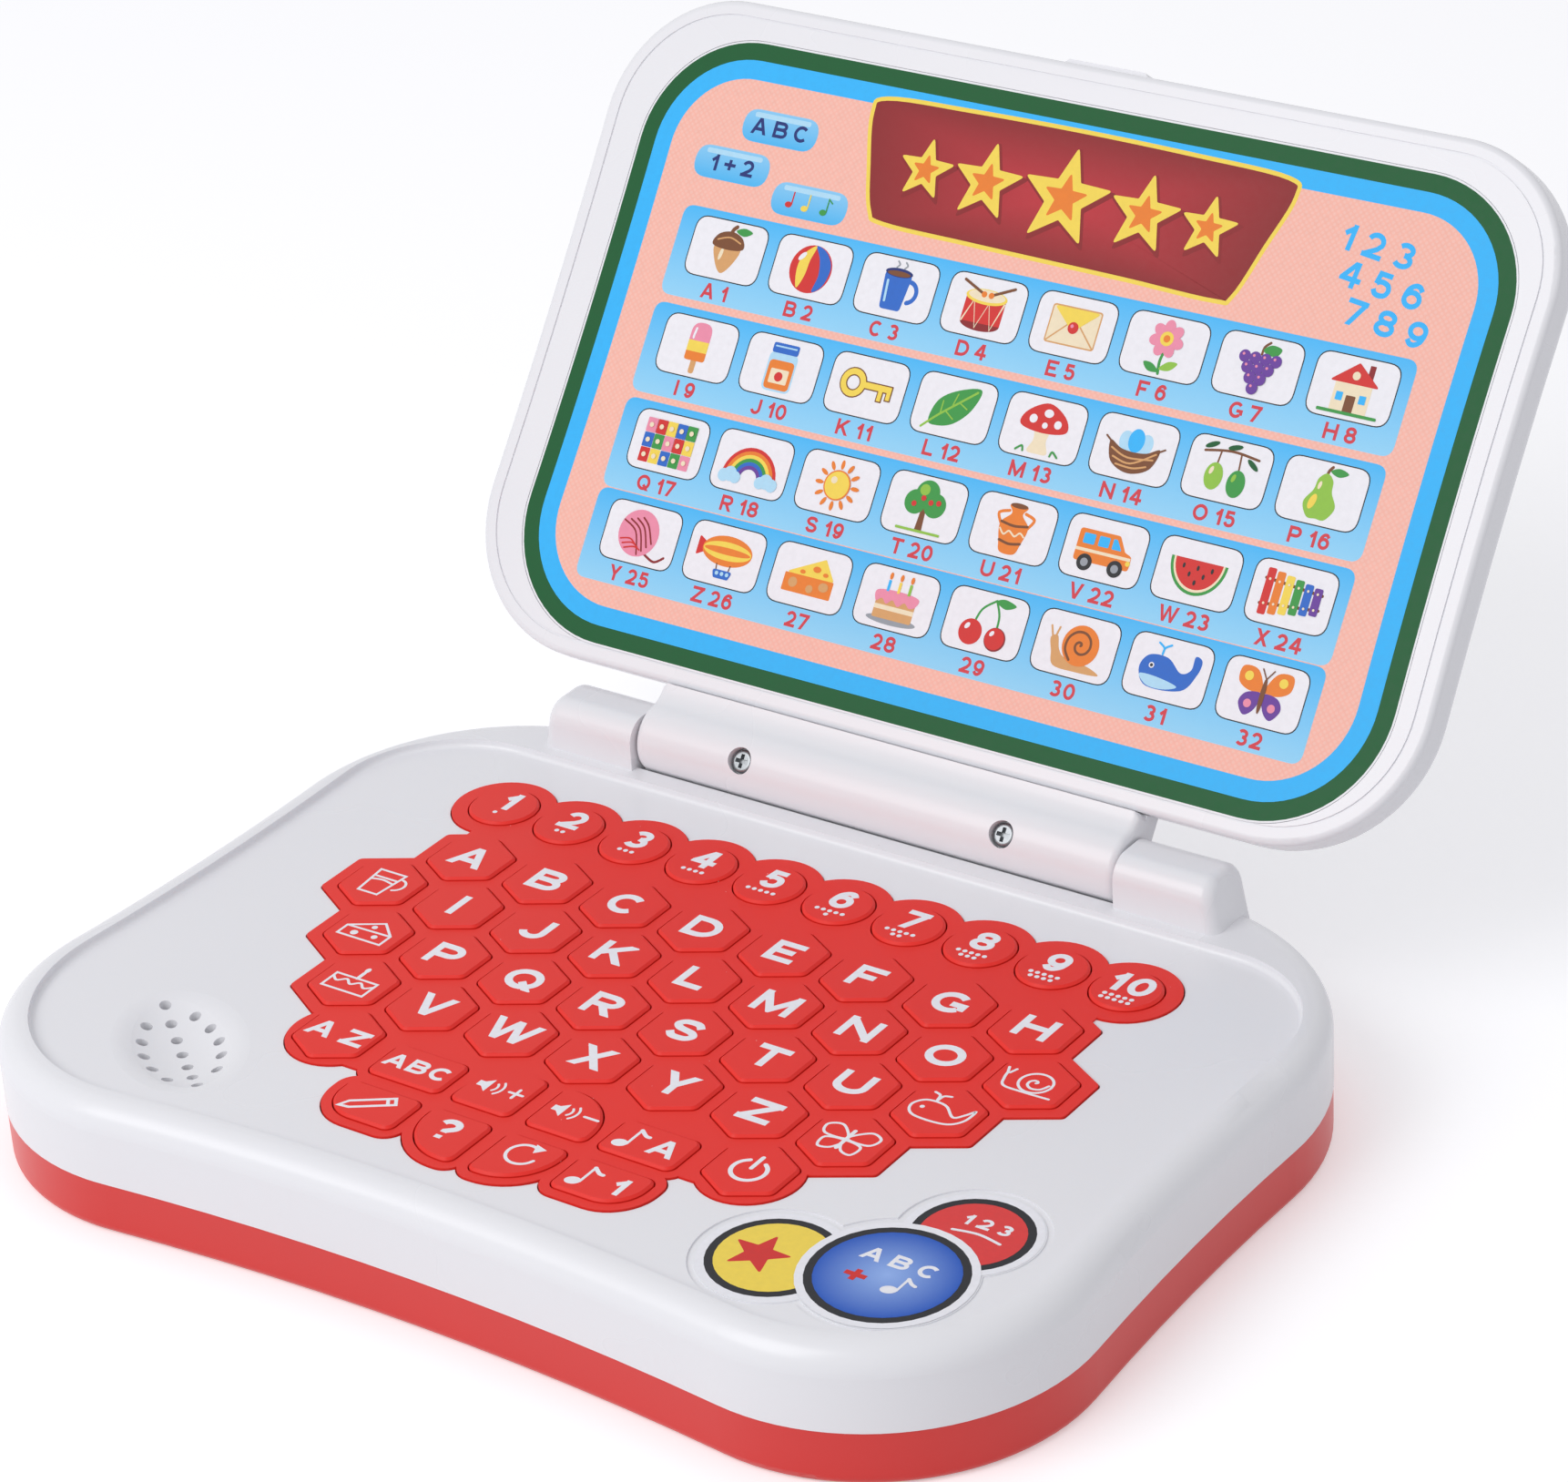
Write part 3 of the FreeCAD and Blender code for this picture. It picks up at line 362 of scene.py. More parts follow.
class Ink(Enum):
    """Inks of the prints, as sRGB colours."""

    WHITE = "#F4F4F9"
    BLACK = "#232428"
    GREY = "#9BA1A9"
    FOREST = "#045829"
    GREEN = "#3C9B47"
    LIME = "#93C748"
    SKY = "#36BBFF"
    PALE = "#B5E2FA"
    BLUE = "#2E6CCB"
    NAVY = "#1F2F74"
    PURPLE = "#6B3F9E"
    PINK = "#F193AE"
    PEACH = "#FCBCAB"
    RED = "#D7322F"
    CAPTION = "#D8404C"
    MAROON = "#8D2327"
    ORANGE = "#EF8430"
    YELLOW = "#F9DC58"
    TAN = "#DCA66C"
    CREAM = "#F6E7C6"
    BROWN = "#7B4B2C"
    BAND = "#4CBEFC"
    PILL = "#8FD0F8"
    BANNER = "#C4343E"
    GLOSS = "#98B9F4"
    CORAL = "#E4403F"


# Inks that run into a second colour: at a band's foot, a pill's foot and the rims of banner and blue disc
FADES = {Ink.BAND: "#9ADAFC", Ink.PILL: "#4DBBF6", Ink.BANNER: "#8C2528", Ink.GLOSS: "#245BC0"}
# Dot screens that show, as the pitch in millimetres and how far the dots go to white
SCREENS = {Ink.PEACH: (0.9, 0.12)}


# Flat shapes, drawn in millimetres

# Round outlines, fine and coarse, as the first angle, the last one and the steps between them
FINE_TURN = (0, 350, 35)
COARSE_TURN = (0, 345, 23)
CORNER_STEPS = 6
# The round end of a line: how far it goes to either side, in degrees, and its steps
CAP_REACH = 80
CAP_STEPS = 4


def turned(points: Sequence[Point], degrees: float) -> Loop:
    """Turns points about the zero point.

    Args:
        points: points to turn.
        degrees: angle, counter-clockwise.

    Returns:
        The turned points.
    """
    cos, sin = math.cos(math.radians(degrees)), math.sin(math.radians(degrees))
    return [(x * cos - y * sin, x * sin + y * cos) for x, y in points]


def arc(x: float, y: float, radius: float, start: float, stop: float, steps: int = 10,
        high: float | None = None) -> Loop:
    """Points along an arc.

    Args:
        x: centre across.
        y: centre up.
        radius: radius across.
        start: first angle in degrees.
        stop: last angle in degrees.
        steps: number of steps between them.
        high: radius upwards, where it differs.

    Returns:
        The points, both ends included.
    """
    high = radius if high is None else high
    angles = [math.radians(start + (stop - start) * step / steps) for step in range(steps + 1)]
    return [(x + radius * math.cos(angle), y + high * math.sin(angle)) for angle in angles]


def rounded(points: Sequence[Point], radius: float) -> Loop:
    """Rounds the corners of a polygon.

    Args:
        points: corners in order.
        radius: radius of each corner.

    Returns:
        The outline with an arc at each corner.
    """
    outline: Loop = []
    for index, corner in enumerate(points):
        here = Vector(corner)
        before = (Vector(points[index - 1]) - here).normalized()
        after = (Vector(points[(index + 1) % len(points)]) - here).normalized()
        half = before.angle(after) / 2
        run = radius / math.tan(half)
        start, end = here + before * run, here + after * run
        for step in range(CORNER_STEPS + 1):
            share = step / CORNER_STEPS
            mid = start.lerp(here, share).lerp(here.lerp(end, share), share)
            outline.append((mid.x, mid.y))
    return outline


def smoothed(points: Sequence[Point], closed: bool = True, steps: int = 6) -> Loop:
    """Draws a smooth line through points.

    Args:
        points: points on the line.
        closed: whether the line comes back to its start.
        steps: points for each stretch.

    Returns:
        The points of the smooth line.
    """
    count = len(points)
    line: Loop = []
    for index in range(count if closed else count - 1):
        reach = []
        for shift in (-1, 0, 1, 2):
            place = (index + shift) % count if closed else min(max(index + shift, 0), count - 1)
            reach.append(points[place])
        for step in range(steps):
            t = step / steps
            # Weights of the four points round a stretch, which give a Catmull-Rom curve
            weights = (-0.5 * t ** 3 + t ** 2 - 0.5 * t, 1.5 * t ** 3 - 2.5 * t ** 2 + 1,
                       -1.5 * t ** 3 + 2 * t ** 2 + 0.5 * t, 0.5 * t ** 3 - 0.5 * t ** 2)
            line.append((sum(w * p[0] for w, p in zip(weights, reach)),
                         sum(w * p[1] for w, p in zip(weights, reach))))
    return line if closed else line + [points[-1]]


def beside(points: Sequence[Point], distance: float, closed: bool, bluntness: float = 0.5) -> Loop:
    """Moves a line sideways.

    Args:
        points: points on the line.
        distance: how far to its left.
        closed: whether the line comes back to its start.
        bluntness: sine of half the sharpest corner that is still drawn to its point.

    Returns:
        The moved line.
    """
    moved: Loop = []
    count = len(points)
    for index, (x, y) in enumerate(points):
        ways = []
        if closed or index > 0:
            ways.append(Vector((x - points[index - 1][0], y - points[index - 1][1])).normalized())
        if closed or index < count - 1:
            after = points[(index + 1) % count]
            ways.append(Vector((after[0] - x, after[1] - y)).normalized())
        way = sum(ways, Vector((0.0, 0.0))) / len(ways)
        reach = distance / max(way.length, bluntness) ** 2
        moved.append((x - way.y * reach, y + way.x * reach))
    return moved


@dataclass(frozen=True)
class Disc:
    """Round or oval shape."""

    ink: Ink
    x: float
    y: float
    rx: float
    ry: float = 0.0
    turn: float = 0.0

    def films(self) -> list[Film]:
        """Returns the outline and no hole."""
        loop = turned(arc(0, 0, self.rx, *FINE_TURN, self.ry or self.rx), self.turn)
        return [([(self.x + x, self.y + y) for x, y in loop], None)]


@dataclass(frozen=True)
class Poly:
    """Straight-sided shape, with rounded corners if asked."""

    ink: Ink
    points: tuple[Point, ...]
    corner: float = 0.0

    def films(self) -> list[Film]:
        """Returns the outline and no hole."""
        return [(rounded(self.points, self.corner) if self.corner else list(self.points), None)]


@dataclass(frozen=True)
class Blob:
    """Smooth closed shape through points."""

    ink: Ink
    points: tuple[Point, ...]

    def films(self) -> list[Film]:
        """Returns the outline and no hole."""
        return [(smoothed(self.points), None)]


@dataclass(frozen=True)
class Line:
    """Drawn line of even width."""

    ink: Ink
    points: tuple[Point, ...]
    width: float
    closed: bool = False
    smooth: bool = True

    def films(self) -> list[Film]:
        """Draws the line with round ends, or as a ring where it is closed.

        Returns:
            Its outline, and the ring's hole or None.
        """
        path = smoothed(self.points, self.closed) if self.smooth else list(self.points)
        half = self.width / 2
        left = beside(path, half, self.closed)
        right = beside(path, -half, self.closed)
        if self.closed:
            return [(left, right)]
        first, last = Vector(path[1]) - Vector(path[0]), Vector(path[-1]) - Vector(path[-2])
        nose = math.degrees(math.atan2(last.y, last.x))
        tail = math.degrees(math.atan2(first.y, first.x))
        front = arc(*path[-1], half, nose - CAP_REACH, nose + CAP_REACH, CAP_STEPS)
        back = arc(*path[0], half, tail + 180 - CAP_REACH, tail + 180 + CAP_REACH, CAP_STEPS)
        return [(right + front + left[::-1] + back, None)]


def clipped(loop: Loop, width: float, height: float) -> Loop:
    """Cuts an outline off at the edges of a box that starts at the zero point.

    Args:
        loop: the outline.
        width: width of the box.
        height: height of the box.

    Returns:
        What of the outline lies in the box.
    """
    for axis, sign, limit in ((0, 1, 0.0), (0, -1, -width), (1, 1, 0.0), (1, -1, -height)):
        kept: Loop = []
        for here, there in zip(loop, loop[1:] + loop[:1]):
            inside, after = sign * here[axis] - limit, sign * there[axis] - limit
            if inside >= 0:
                kept.append(here)
            if (inside >= 0) != (after >= 0):
                share = inside / (inside - after)
                kept.append((here[0] + (there[0] - here[0]) * share,
                             here[1] + (there[1] - here[1]) * share))
        loop = kept
    return loop


@dataclass(frozen=True)
class Glyph:
    """One letter, number or sign: its width for a height of 1, and its strokes in a box of 1 by 1."""

    width: float
    strokes: tuple[tuple[Point, ...], ...]
    rings: tuple[tuple[Point, ...], ...] = ()


def bowl(x: float, low: float, high: float, reach: float) -> tuple[Point, ...]:
    """Stroke from the stem out round a bowl and back to the stem.

    Args:
        x: where the round part begins.
        low: lower end of the bowl.
        high: upper end of the bowl.
        reach: how far the round part goes out.

    Returns:
        Points of the stroke.
    """
    round_part = arc(x, (low + high) / 2, reach, 90, -90, 12, (high - low) / 2)
    return ((0.0, high), *round_part, (0.0, low))


def oval(y: float, rx: float, ry: float) -> tuple[Point, ...]:
    """Closed oval stroke about the middle of a glyph at height y."""
    return tuple(arc(0.5, y, rx, *COARSE_TURN, ry))


STEM = ((0.0, 0.0), (0.0, 1.0))
POST = ((1.0, 0.0), (1.0, 1.0))
TOP = ((0.0, 1.0), (1.0, 1.0))
FOOT = ((0.0, 0.0), (1.0, 0.0))
SWAN = tuple(smoothed(((0.95, 0.8), (0.72, 0.98), (0.42, 0.97), (0.14, 0.76), (0.03, 0.42)), False))
CURL = ((0.95, 0.77), (0.76, 0.96), (0.5, 1.0), (0.2, 0.95), (0.04, 0.75), (0.2, 0.57), (0.5, 0.5),
        (0.8, 0.43), (0.96, 0.25), (0.8, 0.05), (0.5, 0.0), (0.22, 0.04), (0.03, 0.24))
HOOK = ((0.1, 0.52), (0.28, 0.62), (0.55, 0.64), (0.86, 0.55), (0.98, 0.32), (0.84, 0.08), (0.5, 0.0),
        (0.2, 0.05), (0.03, 0.23))
# Plain wide capitals and numbers in strokes of one width
GLYPHS = {
    "A": Glyph(1.1, (((0.065, 0), (0.5, 1.12), (0.935, 0)), ((0.2, 0.27), (0.8, 0.27)))),
    "B": Glyph(0.98, (STEM, bowl(0.6, 0.53, 1.0, 0.34), bowl(0.62, 0.0, 0.53, 0.38))),
    "C": Glyph(1.02, (tuple(arc(0.52, 0.5, 0.5, 45, 315, 20, 0.5)),)),
    "D": Glyph(1.02, (STEM, bowl(0.42, 0.0, 1.0, 0.58))),
    "E": Glyph(0.9, (STEM, TOP, FOOT, ((0, 0.52), (0.92, 0.52)))),
    "F": Glyph(0.86, (STEM, TOP, ((0, 0.49), (0.9, 0.49)))),
    "G": Glyph(1.06, (tuple(arc(0.52, 0.5, 0.5, 45, 318, 20, 0.5)), ((0.56, 0.44), (1, 0.44)),
                      ((1, 0.5), (1, 0.14)))),
    "H": Glyph(1.02, (STEM, POST, ((0, 0.52), (1, 0.52)))),
    "I": Glyph(0.27, (STEM,)),
    "J": Glyph(0.82, (((1, 1),) + tuple(arc(0.5, 0.34, 0.5, 0, -165, 12, 0.34)),)),
    "K": Glyph(1.06, (STEM, ((0.05, 0.36), (0.78, 1)), ((0.33, 0.6), (0.83, 0)))),
    "L": Glyph(0.84, (STEM, FOOT)),
    "M": Glyph(1.18, (STEM, POST, ((0, 1), (0.5, 0.04), (1, 1)))),
    "N": Glyph(1.04, (STEM, POST, ((0, 1), (1, 0)))),
    "O": Glyph(1.1, (), (oval(0.5, 0.5, 0.5),)),
    "P": Glyph(0.96, (STEM, bowl(0.6, 0.42, 1.0, 0.38))),
    "Q": Glyph(1.1, (((0.52, 0.33), (0.82, 0)),), (oval(0.5, 0.5, 0.5),)),
    "R": Glyph(1.0, (STEM, bowl(0.6, 0.46, 1.0, 0.37), ((0.45, 0.46), (0.83, 0)))),
    "S": Glyph(0.98, (tuple(smoothed(CURL, False)),)),
    "T": Glyph(0.96, (TOP, ((0.5, 0), (0.5, 1)))),
    "U": Glyph(1.02, (((0, 1),) + tuple(arc(0.5, 0.38, 0.5, 180, 360, 14, 0.38)) + ((1, 1),),)),
    "V": Glyph(1.06, (((0.065, 1), (0.5, -0.12), (0.935, 1)),)),
    "W": Glyph(1.5, (((0.035, 1), (0.27, -0.1), (0.5, 1.1), (0.73, -0.1), (0.965, 1)),)),
    "X": Glyph(1.06, (((0.15, 0), (0.85, 1)), ((0.15, 1), (0.85, 0)))),
    "Y": Glyph(1.04, (((0.13, 1), (0.5, 0.42), (0.87, 1)), ((0.5, 0), (0.5, 0.5)))),
    "Z": Glyph(0.98, (TOP, FOOT, ((1, 1), (0, 0)))),
    "0": Glyph(0.86, (), (oval(0.5, 0.5, 0.5),)),
    "1": Glyph(0.56, (((1, 0), (1, 1)), ((1, 0.97), (0.1, 0.62)))),
    "2": Glyph(0.84, (tuple(arc(0.5, 0.68, 0.47, 165, -20, 12, 0.32)) + ((0.72, 0.36), (0, 0)), FOOT)),
    "3": Glyph(0.84, (tuple(arc(0.45, 0.76, 0.44, 150, -90, 12, 0.24)),
                      tuple(arc(0.45, 0.265, 0.5, 90, -150, 12, 0.265)))),
    "4": Glyph(0.9, (((0.72, 0), (0.72, 1)), ((0.575, 1), (0, 0.28), (1, 0.28)))),
    "5": Glyph(0.84, (((0.14, 1), (0.94, 1)), ((0.16, 1), (0.08, 0.5)), tuple(smoothed(HOOK, False)))),
    "6": Glyph(0.86, (SWAN,), (oval(0.33, 0.47, 0.33),)),
    "7": Glyph(0.84, (TOP, ((1, 1), (0.35, 0)))),
    "8": Glyph(0.88, (), (oval(0.76, 0.42, 0.24), oval(0.27, 0.48, 0.27))),
    "9": Glyph(0.86, (tuple((1 - x, 1 - y) for x, y in SWAN),), (oval(0.67, 0.47, 0.33),)),
    "+": Glyph(0.8, (((0, 0.5), (1, 0.5)), ((0.5, 0.1), (0.5, 0.9)))),
    "?": Glyph(0.84, ((*arc(0.5, 0.74, 0.42, 170, -45, 12, 0.26), (0.5, 0.36), (0.5, 0.26)),
                      ((0.5, 0), (0.5, 0.06)))),
}
# Shares of a letter's height: the gap to the next letter, and a space between words
LETTER_GAP = 0.17
WORD_SPACE = 0.3
# How sharp a corner of a letter may be, and how far its end must point out of the box to run on through it
LETTER_BLUNTNESS = 0.3
RUN_ON = 0.1


@dataclass(frozen=True)
class Words:
    """A line of letters, numbers or signs, centred on its place."""

    ink: Ink
    x: float
    y: float
    text: str
    height: float
    stretch: float = 1.0
    weight: float = 0.22
    turn: float = 0.0

    def letter(self, glyph: Glyph) -> list[Film]:
        """Films of one glyph.

        Args:
            glyph: the glyph.

        Returns:
            Outlines, and holes where a stroke is a ring, from the glyph's lower left corner.
        """
        stroke = self.weight * self.height
        width = max(glyph.width * self.height * self.stretch, stroke)

        def placed(points: Sequence[Point]) -> Loop:
            """Points of a stroke in the glyph's real box."""
            return [(stroke / 2 + x * (width - stroke), stroke / 2 + y * (self.height - stroke))
                    for x, y in points]

        films: list[Film] = []
        for points in glyph.strokes:
            path = placed(points)
            # An end that meets an edge of the box runs on through it, so that the box cuts it square
            for end, beyond in ((0, 1), (-1, -2)):
                way = (Vector(path[end]) - Vector(path[beyond])).normalized()
                if any((value == 0 and step < -RUN_ON) or (value == 1 and step > RUN_ON)
                       for value, step in zip(points[end], way)):
                    path[end] = (path[end][0] + way.x * stroke, path[end][1] + way.y * stroke)
            left = beside(path, stroke / 2, False, LETTER_BLUNTNESS)
            right = beside(path, -stroke / 2, False, LETTER_BLUNTNESS)
            films.append((clipped(left + right[::-1], width, self.height), None))
        for points in glyph.rings:
            path = placed(points)
            films.append((beside(path, -stroke / 2, True), beside(path, stroke / 2, True)))
        return films

    def films(self) -> list[Film]:
        """Sets the letters side by side.

        Returns:
            The outlines of all strokes, and the holes of those that are rings.
        """
        gap = LETTER_GAP * self.height
        films: list[Film] = []
        pen = 0.0
        for mark in self.text:
            if mark == " ":
                pen += WORD_SPACE * self.height
                continue
            glyph = GLYPHS[mark]
            for outer, hole in self.letter(glyph):
                films.append(([(x + pen, y) for x, y in outer],
                              [(x + pen, y) for x, y in hole] if hole else None))
            pen += max(glyph.width * self.stretch, self.weight) * self.height + gap

        def settled(loop: Loop) -> Loop:
            """A loop of the line, centred, turned and put in its place."""
            centred = turned([(x - (pen - gap) / 2, y - self.height / 2) for x, y in loop], self.turn)
            return [(x + self.x, y + self.y) for x, y in centred]

        return [(settled(outer), settled(hole) if hole else None) for outer, hole in films]


Shape = Disc | Poly | Blob | Line | Words


def rectangle(low: Point, high: Point) -> tuple[Point, ...]:
    """Corners of an upright rectangle, counter-clockwise."""
    return low, (high[0], low[1]), high, (low[0], high[1])


def block(half: Point) -> tuple[Point, ...]:
    """Corners of an upright rectangle about the zero point, from half its width and height."""
    return rectangle((-half[0], -half[1]), half)


def star(x: float, y: float, reach: float, points: int = 5, waist: float = 0.42) -> tuple[Point, ...]:
    """Corners of a star.

    Args:
        x: centre across.
        y: centre up.
        reach: distance from the centre to a point.
        points: number of points.
        waist: depth of the notches as a share of the reach.

    Returns:
        The corners in order, the top point first.
    """
    corners = []
    for step in range(points * 2):
        radius = reach if step % 2 == 0 else reach * waist
        angle = math.radians(90 + 180 * step / points)
        corners.append((x + radius * math.cos(angle), y + radius * math.sin(angle)))
    return tuple(corners)


# Pictures

# A berry in a bunch, as shares of the pitch: from row to row, its radius, and its spot's place and radius
BERRY_ROW = 0.86
BERRY_SIZE = 0.54
SPOT_PLACE = (-0.15, 0.17)
SPOT_SIZE = 0.12


def petals(ink: Ink, x: float, y: float, reach: float, count: int, size: Point) -> tuple[Shape, ...]:
    """Ovals set evenly round a centre, each pointing outwards.

    Args:
        ink: their ink.
        x: centre across.
        y: centre up.
        reach: from the centre to the middle of each oval.
        count: how many.
        size: half the length and half the width of an oval.

    Returns:
        The ovals.
    """
    shapes: list[Shape] = []
    for index in range(count):
        angle = 90 + 360 / count * index
        across, up = reach * math.cos(math.radians(angle)), reach * math.sin(math.radians(angle))
        shapes.append(Disc(ink, x + across, y + up, *size, angle))
    return tuple(shapes)


def bunch(ink: Ink, shine: Ink, rows: Sequence[int], x: float, y: float, pitch: float) -> tuple[Shape, ...]:
    """Rows of round berries, each with a light spot.

    Args:
        ink: ink of the berries.
        shine: ink of the spots.
        rows: how many berries each row has, from the top.
        x: centre of the rows.
        y: height of the first row.
        pitch: from berry to berry.

    Returns:
        The berries and their spots.
    """
    shapes: list[Shape] = []
    for row, count in enumerate(rows):
        for index in range(count):
            across, up = x + (index - (count - 1) / 2) * pitch, y - row * pitch * BERRY_ROW
            shapes.append(Disc(ink, across, up, pitch * BERRY_SIZE))
            shapes.append(Disc(shine, across + pitch * SPOT_PLACE[0], up + pitch * SPOT_PLACE[1],
                               pitch * SPOT_SIZE))
    return tuple(shapes)


def spiral(x: float, y: float, growth: float, turn: float, count: int) -> tuple[Point, ...]:
    """Points of a spiral.

    Args:
        x: centre across.
        y: centre up.
        growth: how much further out each point is than the one before.
        turn: angle from point to point, in radians.
        count: number of points.

    Returns:
        The points from the centre outwards.
    """
    return tuple((x + growth * step * math.cos(step * turn), y + growth * step * math.sin(step * turn))
                 for step in range(count))


SPECTRUM = (Ink.RED, Ink.ORANGE, Ink.YELLOW, Ink.GREEN, Ink.BLUE, Ink.PURPLE)

# Pictures on the lid's tiles, in millimetres from a tile's centre

ACORN = (Blob(Ink.TAN, ((-2.8, 1.0), (-2.3, -2.0), (0, -4.6), (2.3, -2.0), (2.8, 1.0))),
         Disc(Ink.CREAM, -1.1, -0.8, 0.4, 1.3, -8),
         Blob(Ink.BROWN, ((-3.6, 0.8), (-2.8, 3.0), (0, 3.9), (2.8, 3.0), (3.6, 0.8), (0, 0.2))),
         Line(Ink.TAN, ((-2.7, 1.9), (0, 2.7), (2.7, 1.9)), 0.3),
         Line(Ink.BROWN, ((0, 3.6), (0.3, 4.4), (0.9, 5.0)), 0.8),
         Blob(Ink.GREEN, ((1.0, 4.2), (2.8, 5.0), (4.8, 4.4), (3.0, 3.4))))
BALL = (Disc(Ink.RED, 0, 0, 4.8),
        Blob(Ink.YELLOW, ((0, 4.7), (-2.5, 2.6), (-3.1, -0.6), (-2.1, -4.1), (-1.0, -1.5), (-0.7, 1.6))),
        Blob(Ink.BLUE, ((0, 4.7), (1.4, 2.2), (2.1, -1.0), (1.6, -4.3), (3.7, -2.7), (4.4, 1.0),
                        (2.6, 3.8))),
        Disc(Ink.WHITE, -2.6, 2.2, 0.5, 1.1, -40))
CUP = (Line(Ink.BLUE, tuple(arc(2.5, -0.4, 2.1, -75, 80)), 0.9),
       Poly(Ink.BLUE, ((-3.4, 3.0), (-2.6, -4.4), (2.0, -4.4), (2.8, 3.0)), 0.8),
       Disc(Ink.NAVY, -0.3, 3.0, 3.1, 0.9), Disc(Ink.BROWN, -0.3, 2.8, 2.6, 0.55),
       Line(Ink.PALE, ((-2.3, 1.2), (-1.9, -2.8)), 0.5),
       Line(Ink.GREY, ((-1.2, 4.0), (-0.7, 4.6), (-1.2, 5.2)), 0.3),
       Line(Ink.GREY, ((0.6, 4.0), (1.1, 4.6), (0.6, 5.2)), 0.3))
DRUM = (Disc(Ink.MAROON, 0, -3.2, 4.4, 1.5), Poly(Ink.RED, rectangle((-4.4, -3.2), (4.4, 2.0))),
        Line(Ink.CREAM, ((-4.2, -3.2), (-2.5, 1.2), (-0.9, -4.2), (0.9, 0.9), (2.5, -4.2), (4.2, 1.2)),
             0.35, smooth=False),
        Disc(Ink.YELLOW, 0, 2.0, 4.6, 1.5), Disc(Ink.CREAM, 0, 2.2, 4.1, 1.15),
        Line(Ink.BROWN, ((-5.6, 4.6), (-0.8, 2.5)), 0.55), Disc(Ink.ORANGE, -0.7, 2.45, 0.6),
        Line(Ink.BROWN, ((5.6, 4.6), (1.0, 2.5)), 0.55), Disc(Ink.ORANGE, 0.9, 2.45, 0.6))
ENVELOPE = (Poly(Ink.TAN, rectangle((-5.5, -3.8), (5.5, 3.8)), 0.7),
            Poly(Ink.CREAM, rectangle((-5.2, -3.5), (5.2, 3.5)), 0.5),
            Line(Ink.TAN, ((-5.0, -3.3), (-1.3, 0.3)), 0.3), Line(Ink.TAN, ((5.0, -3.3), (1.3, 0.3)), 0.3),
            Poly(Ink.YELLOW, ((-5.2, 3.5), (0, -1.0), (5.2, 3.5)), 0.4), Disc(Ink.RED, 0, -0.2, 1.15),
            Disc(Ink.PINK, -0.3, 0.1, 0.35))
FLOWER = (Line(Ink.GREEN, ((0.2, -0.5), (-0.2, -2.8), (0.1, -5.1)), 0.6),
          Blob(Ink.LIME, ((0, -4.2), (1.6, -2.6), (3.6, -2.6), (2.2, -4.2))),
          Blob(Ink.GREEN, ((0, -4.8), (-1.6, -3.4), (-3.5, -3.4), (-2.2, -4.9))))
FLOWER += petals(Ink.PINK, 0, 1.6, 2.2, 7, (1.5, 1.15))
FLOWER += (Disc(Ink.YELLOW, 0, 1.6, 1.4), Disc(Ink.ORANGE, 0, 1.6, 0.7))
GRAPES = (Line(Ink.BROWN, ((0, 2.6), (0.2, 4.0), (1.2, 5.0)), 0.5),
          Blob(Ink.GREEN, ((0.1, 3.4), (1.6, 4.6), (3.8, 4.2), (3.2, 2.8), (1.6, 2.6))))
GRAPES += bunch(Ink.PURPLE, Ink.PINK, (4, 3, 2, 1), 0, 1.7, 2.2)
HOUSE = (Poly(Ink.MAROON, rectangle((2.2, 1.6), (3.4, 4.8)), 0.1),
         Poly(Ink.CREAM, rectangle((-3.8, -4.6), (3.8, 1.2))),
         Poly(Ink.RED, ((-5.2, 0.8), (0, 4.9), (5.2, 0.8)), 0.3),
         Poly(Ink.BROWN, rectangle((-1.0, -4.6), (1.0, -1.4)), 0.25),
         Poly(Ink.SKY, rectangle((-3.1, -2.6), (-1.7, -1.0)), 0.1),
         Poly(Ink.SKY, rectangle((1.7, -2.6), (3.1, -1.0)), 0.1),
         Disc(Ink.CREAM, 0, 2.4, 0.8), Poly(Ink.GREEN, rectangle((-6.2, -5.1), (6.2, -4.5)), 0.28))
LOLLY = (Poly(Ink.TAN, rectangle((-0.65, -5.2), (0.65, -2.0)), 0.6),
         Poly(Ink.PINK, rectangle((-2.4, -2.6), (2.4, 5.1)), 2.2),
         Poly(Ink.ORANGE, rectangle((-2.4, -2.6), (2.4, 0.2)), 0.6),
         Poly(Ink.YELLOW, rectangle((-2.4, -0.8), (2.4, 1.4))),
         Line(Ink.WHITE, ((-1.3, 3.8), (-1.5, 2.4), (-1.5, 1.9)), 0.5))
JAR = (Poly(Ink.PALE, rectangle((-3.3, -4.9), (3.3, 2.9)), 1.3),
       Poly(Ink.ORANGE, rectangle((-2.9, -4.5), (2.9, 1.3)), 1.0),
       Poly(Ink.CREAM, rectangle((-2.1, -3.3), (2.1, -0.4)), 0.3), Disc(Ink.RED, 0, -1.9, 0.95),
       Poly(Ink.BLUE, rectangle((-3.0, 2.7), (3.0, 4.7)), 0.5),
       Line(Ink.PALE, ((-2.4, 4.0), (2.4, 4.0)), 0.3))
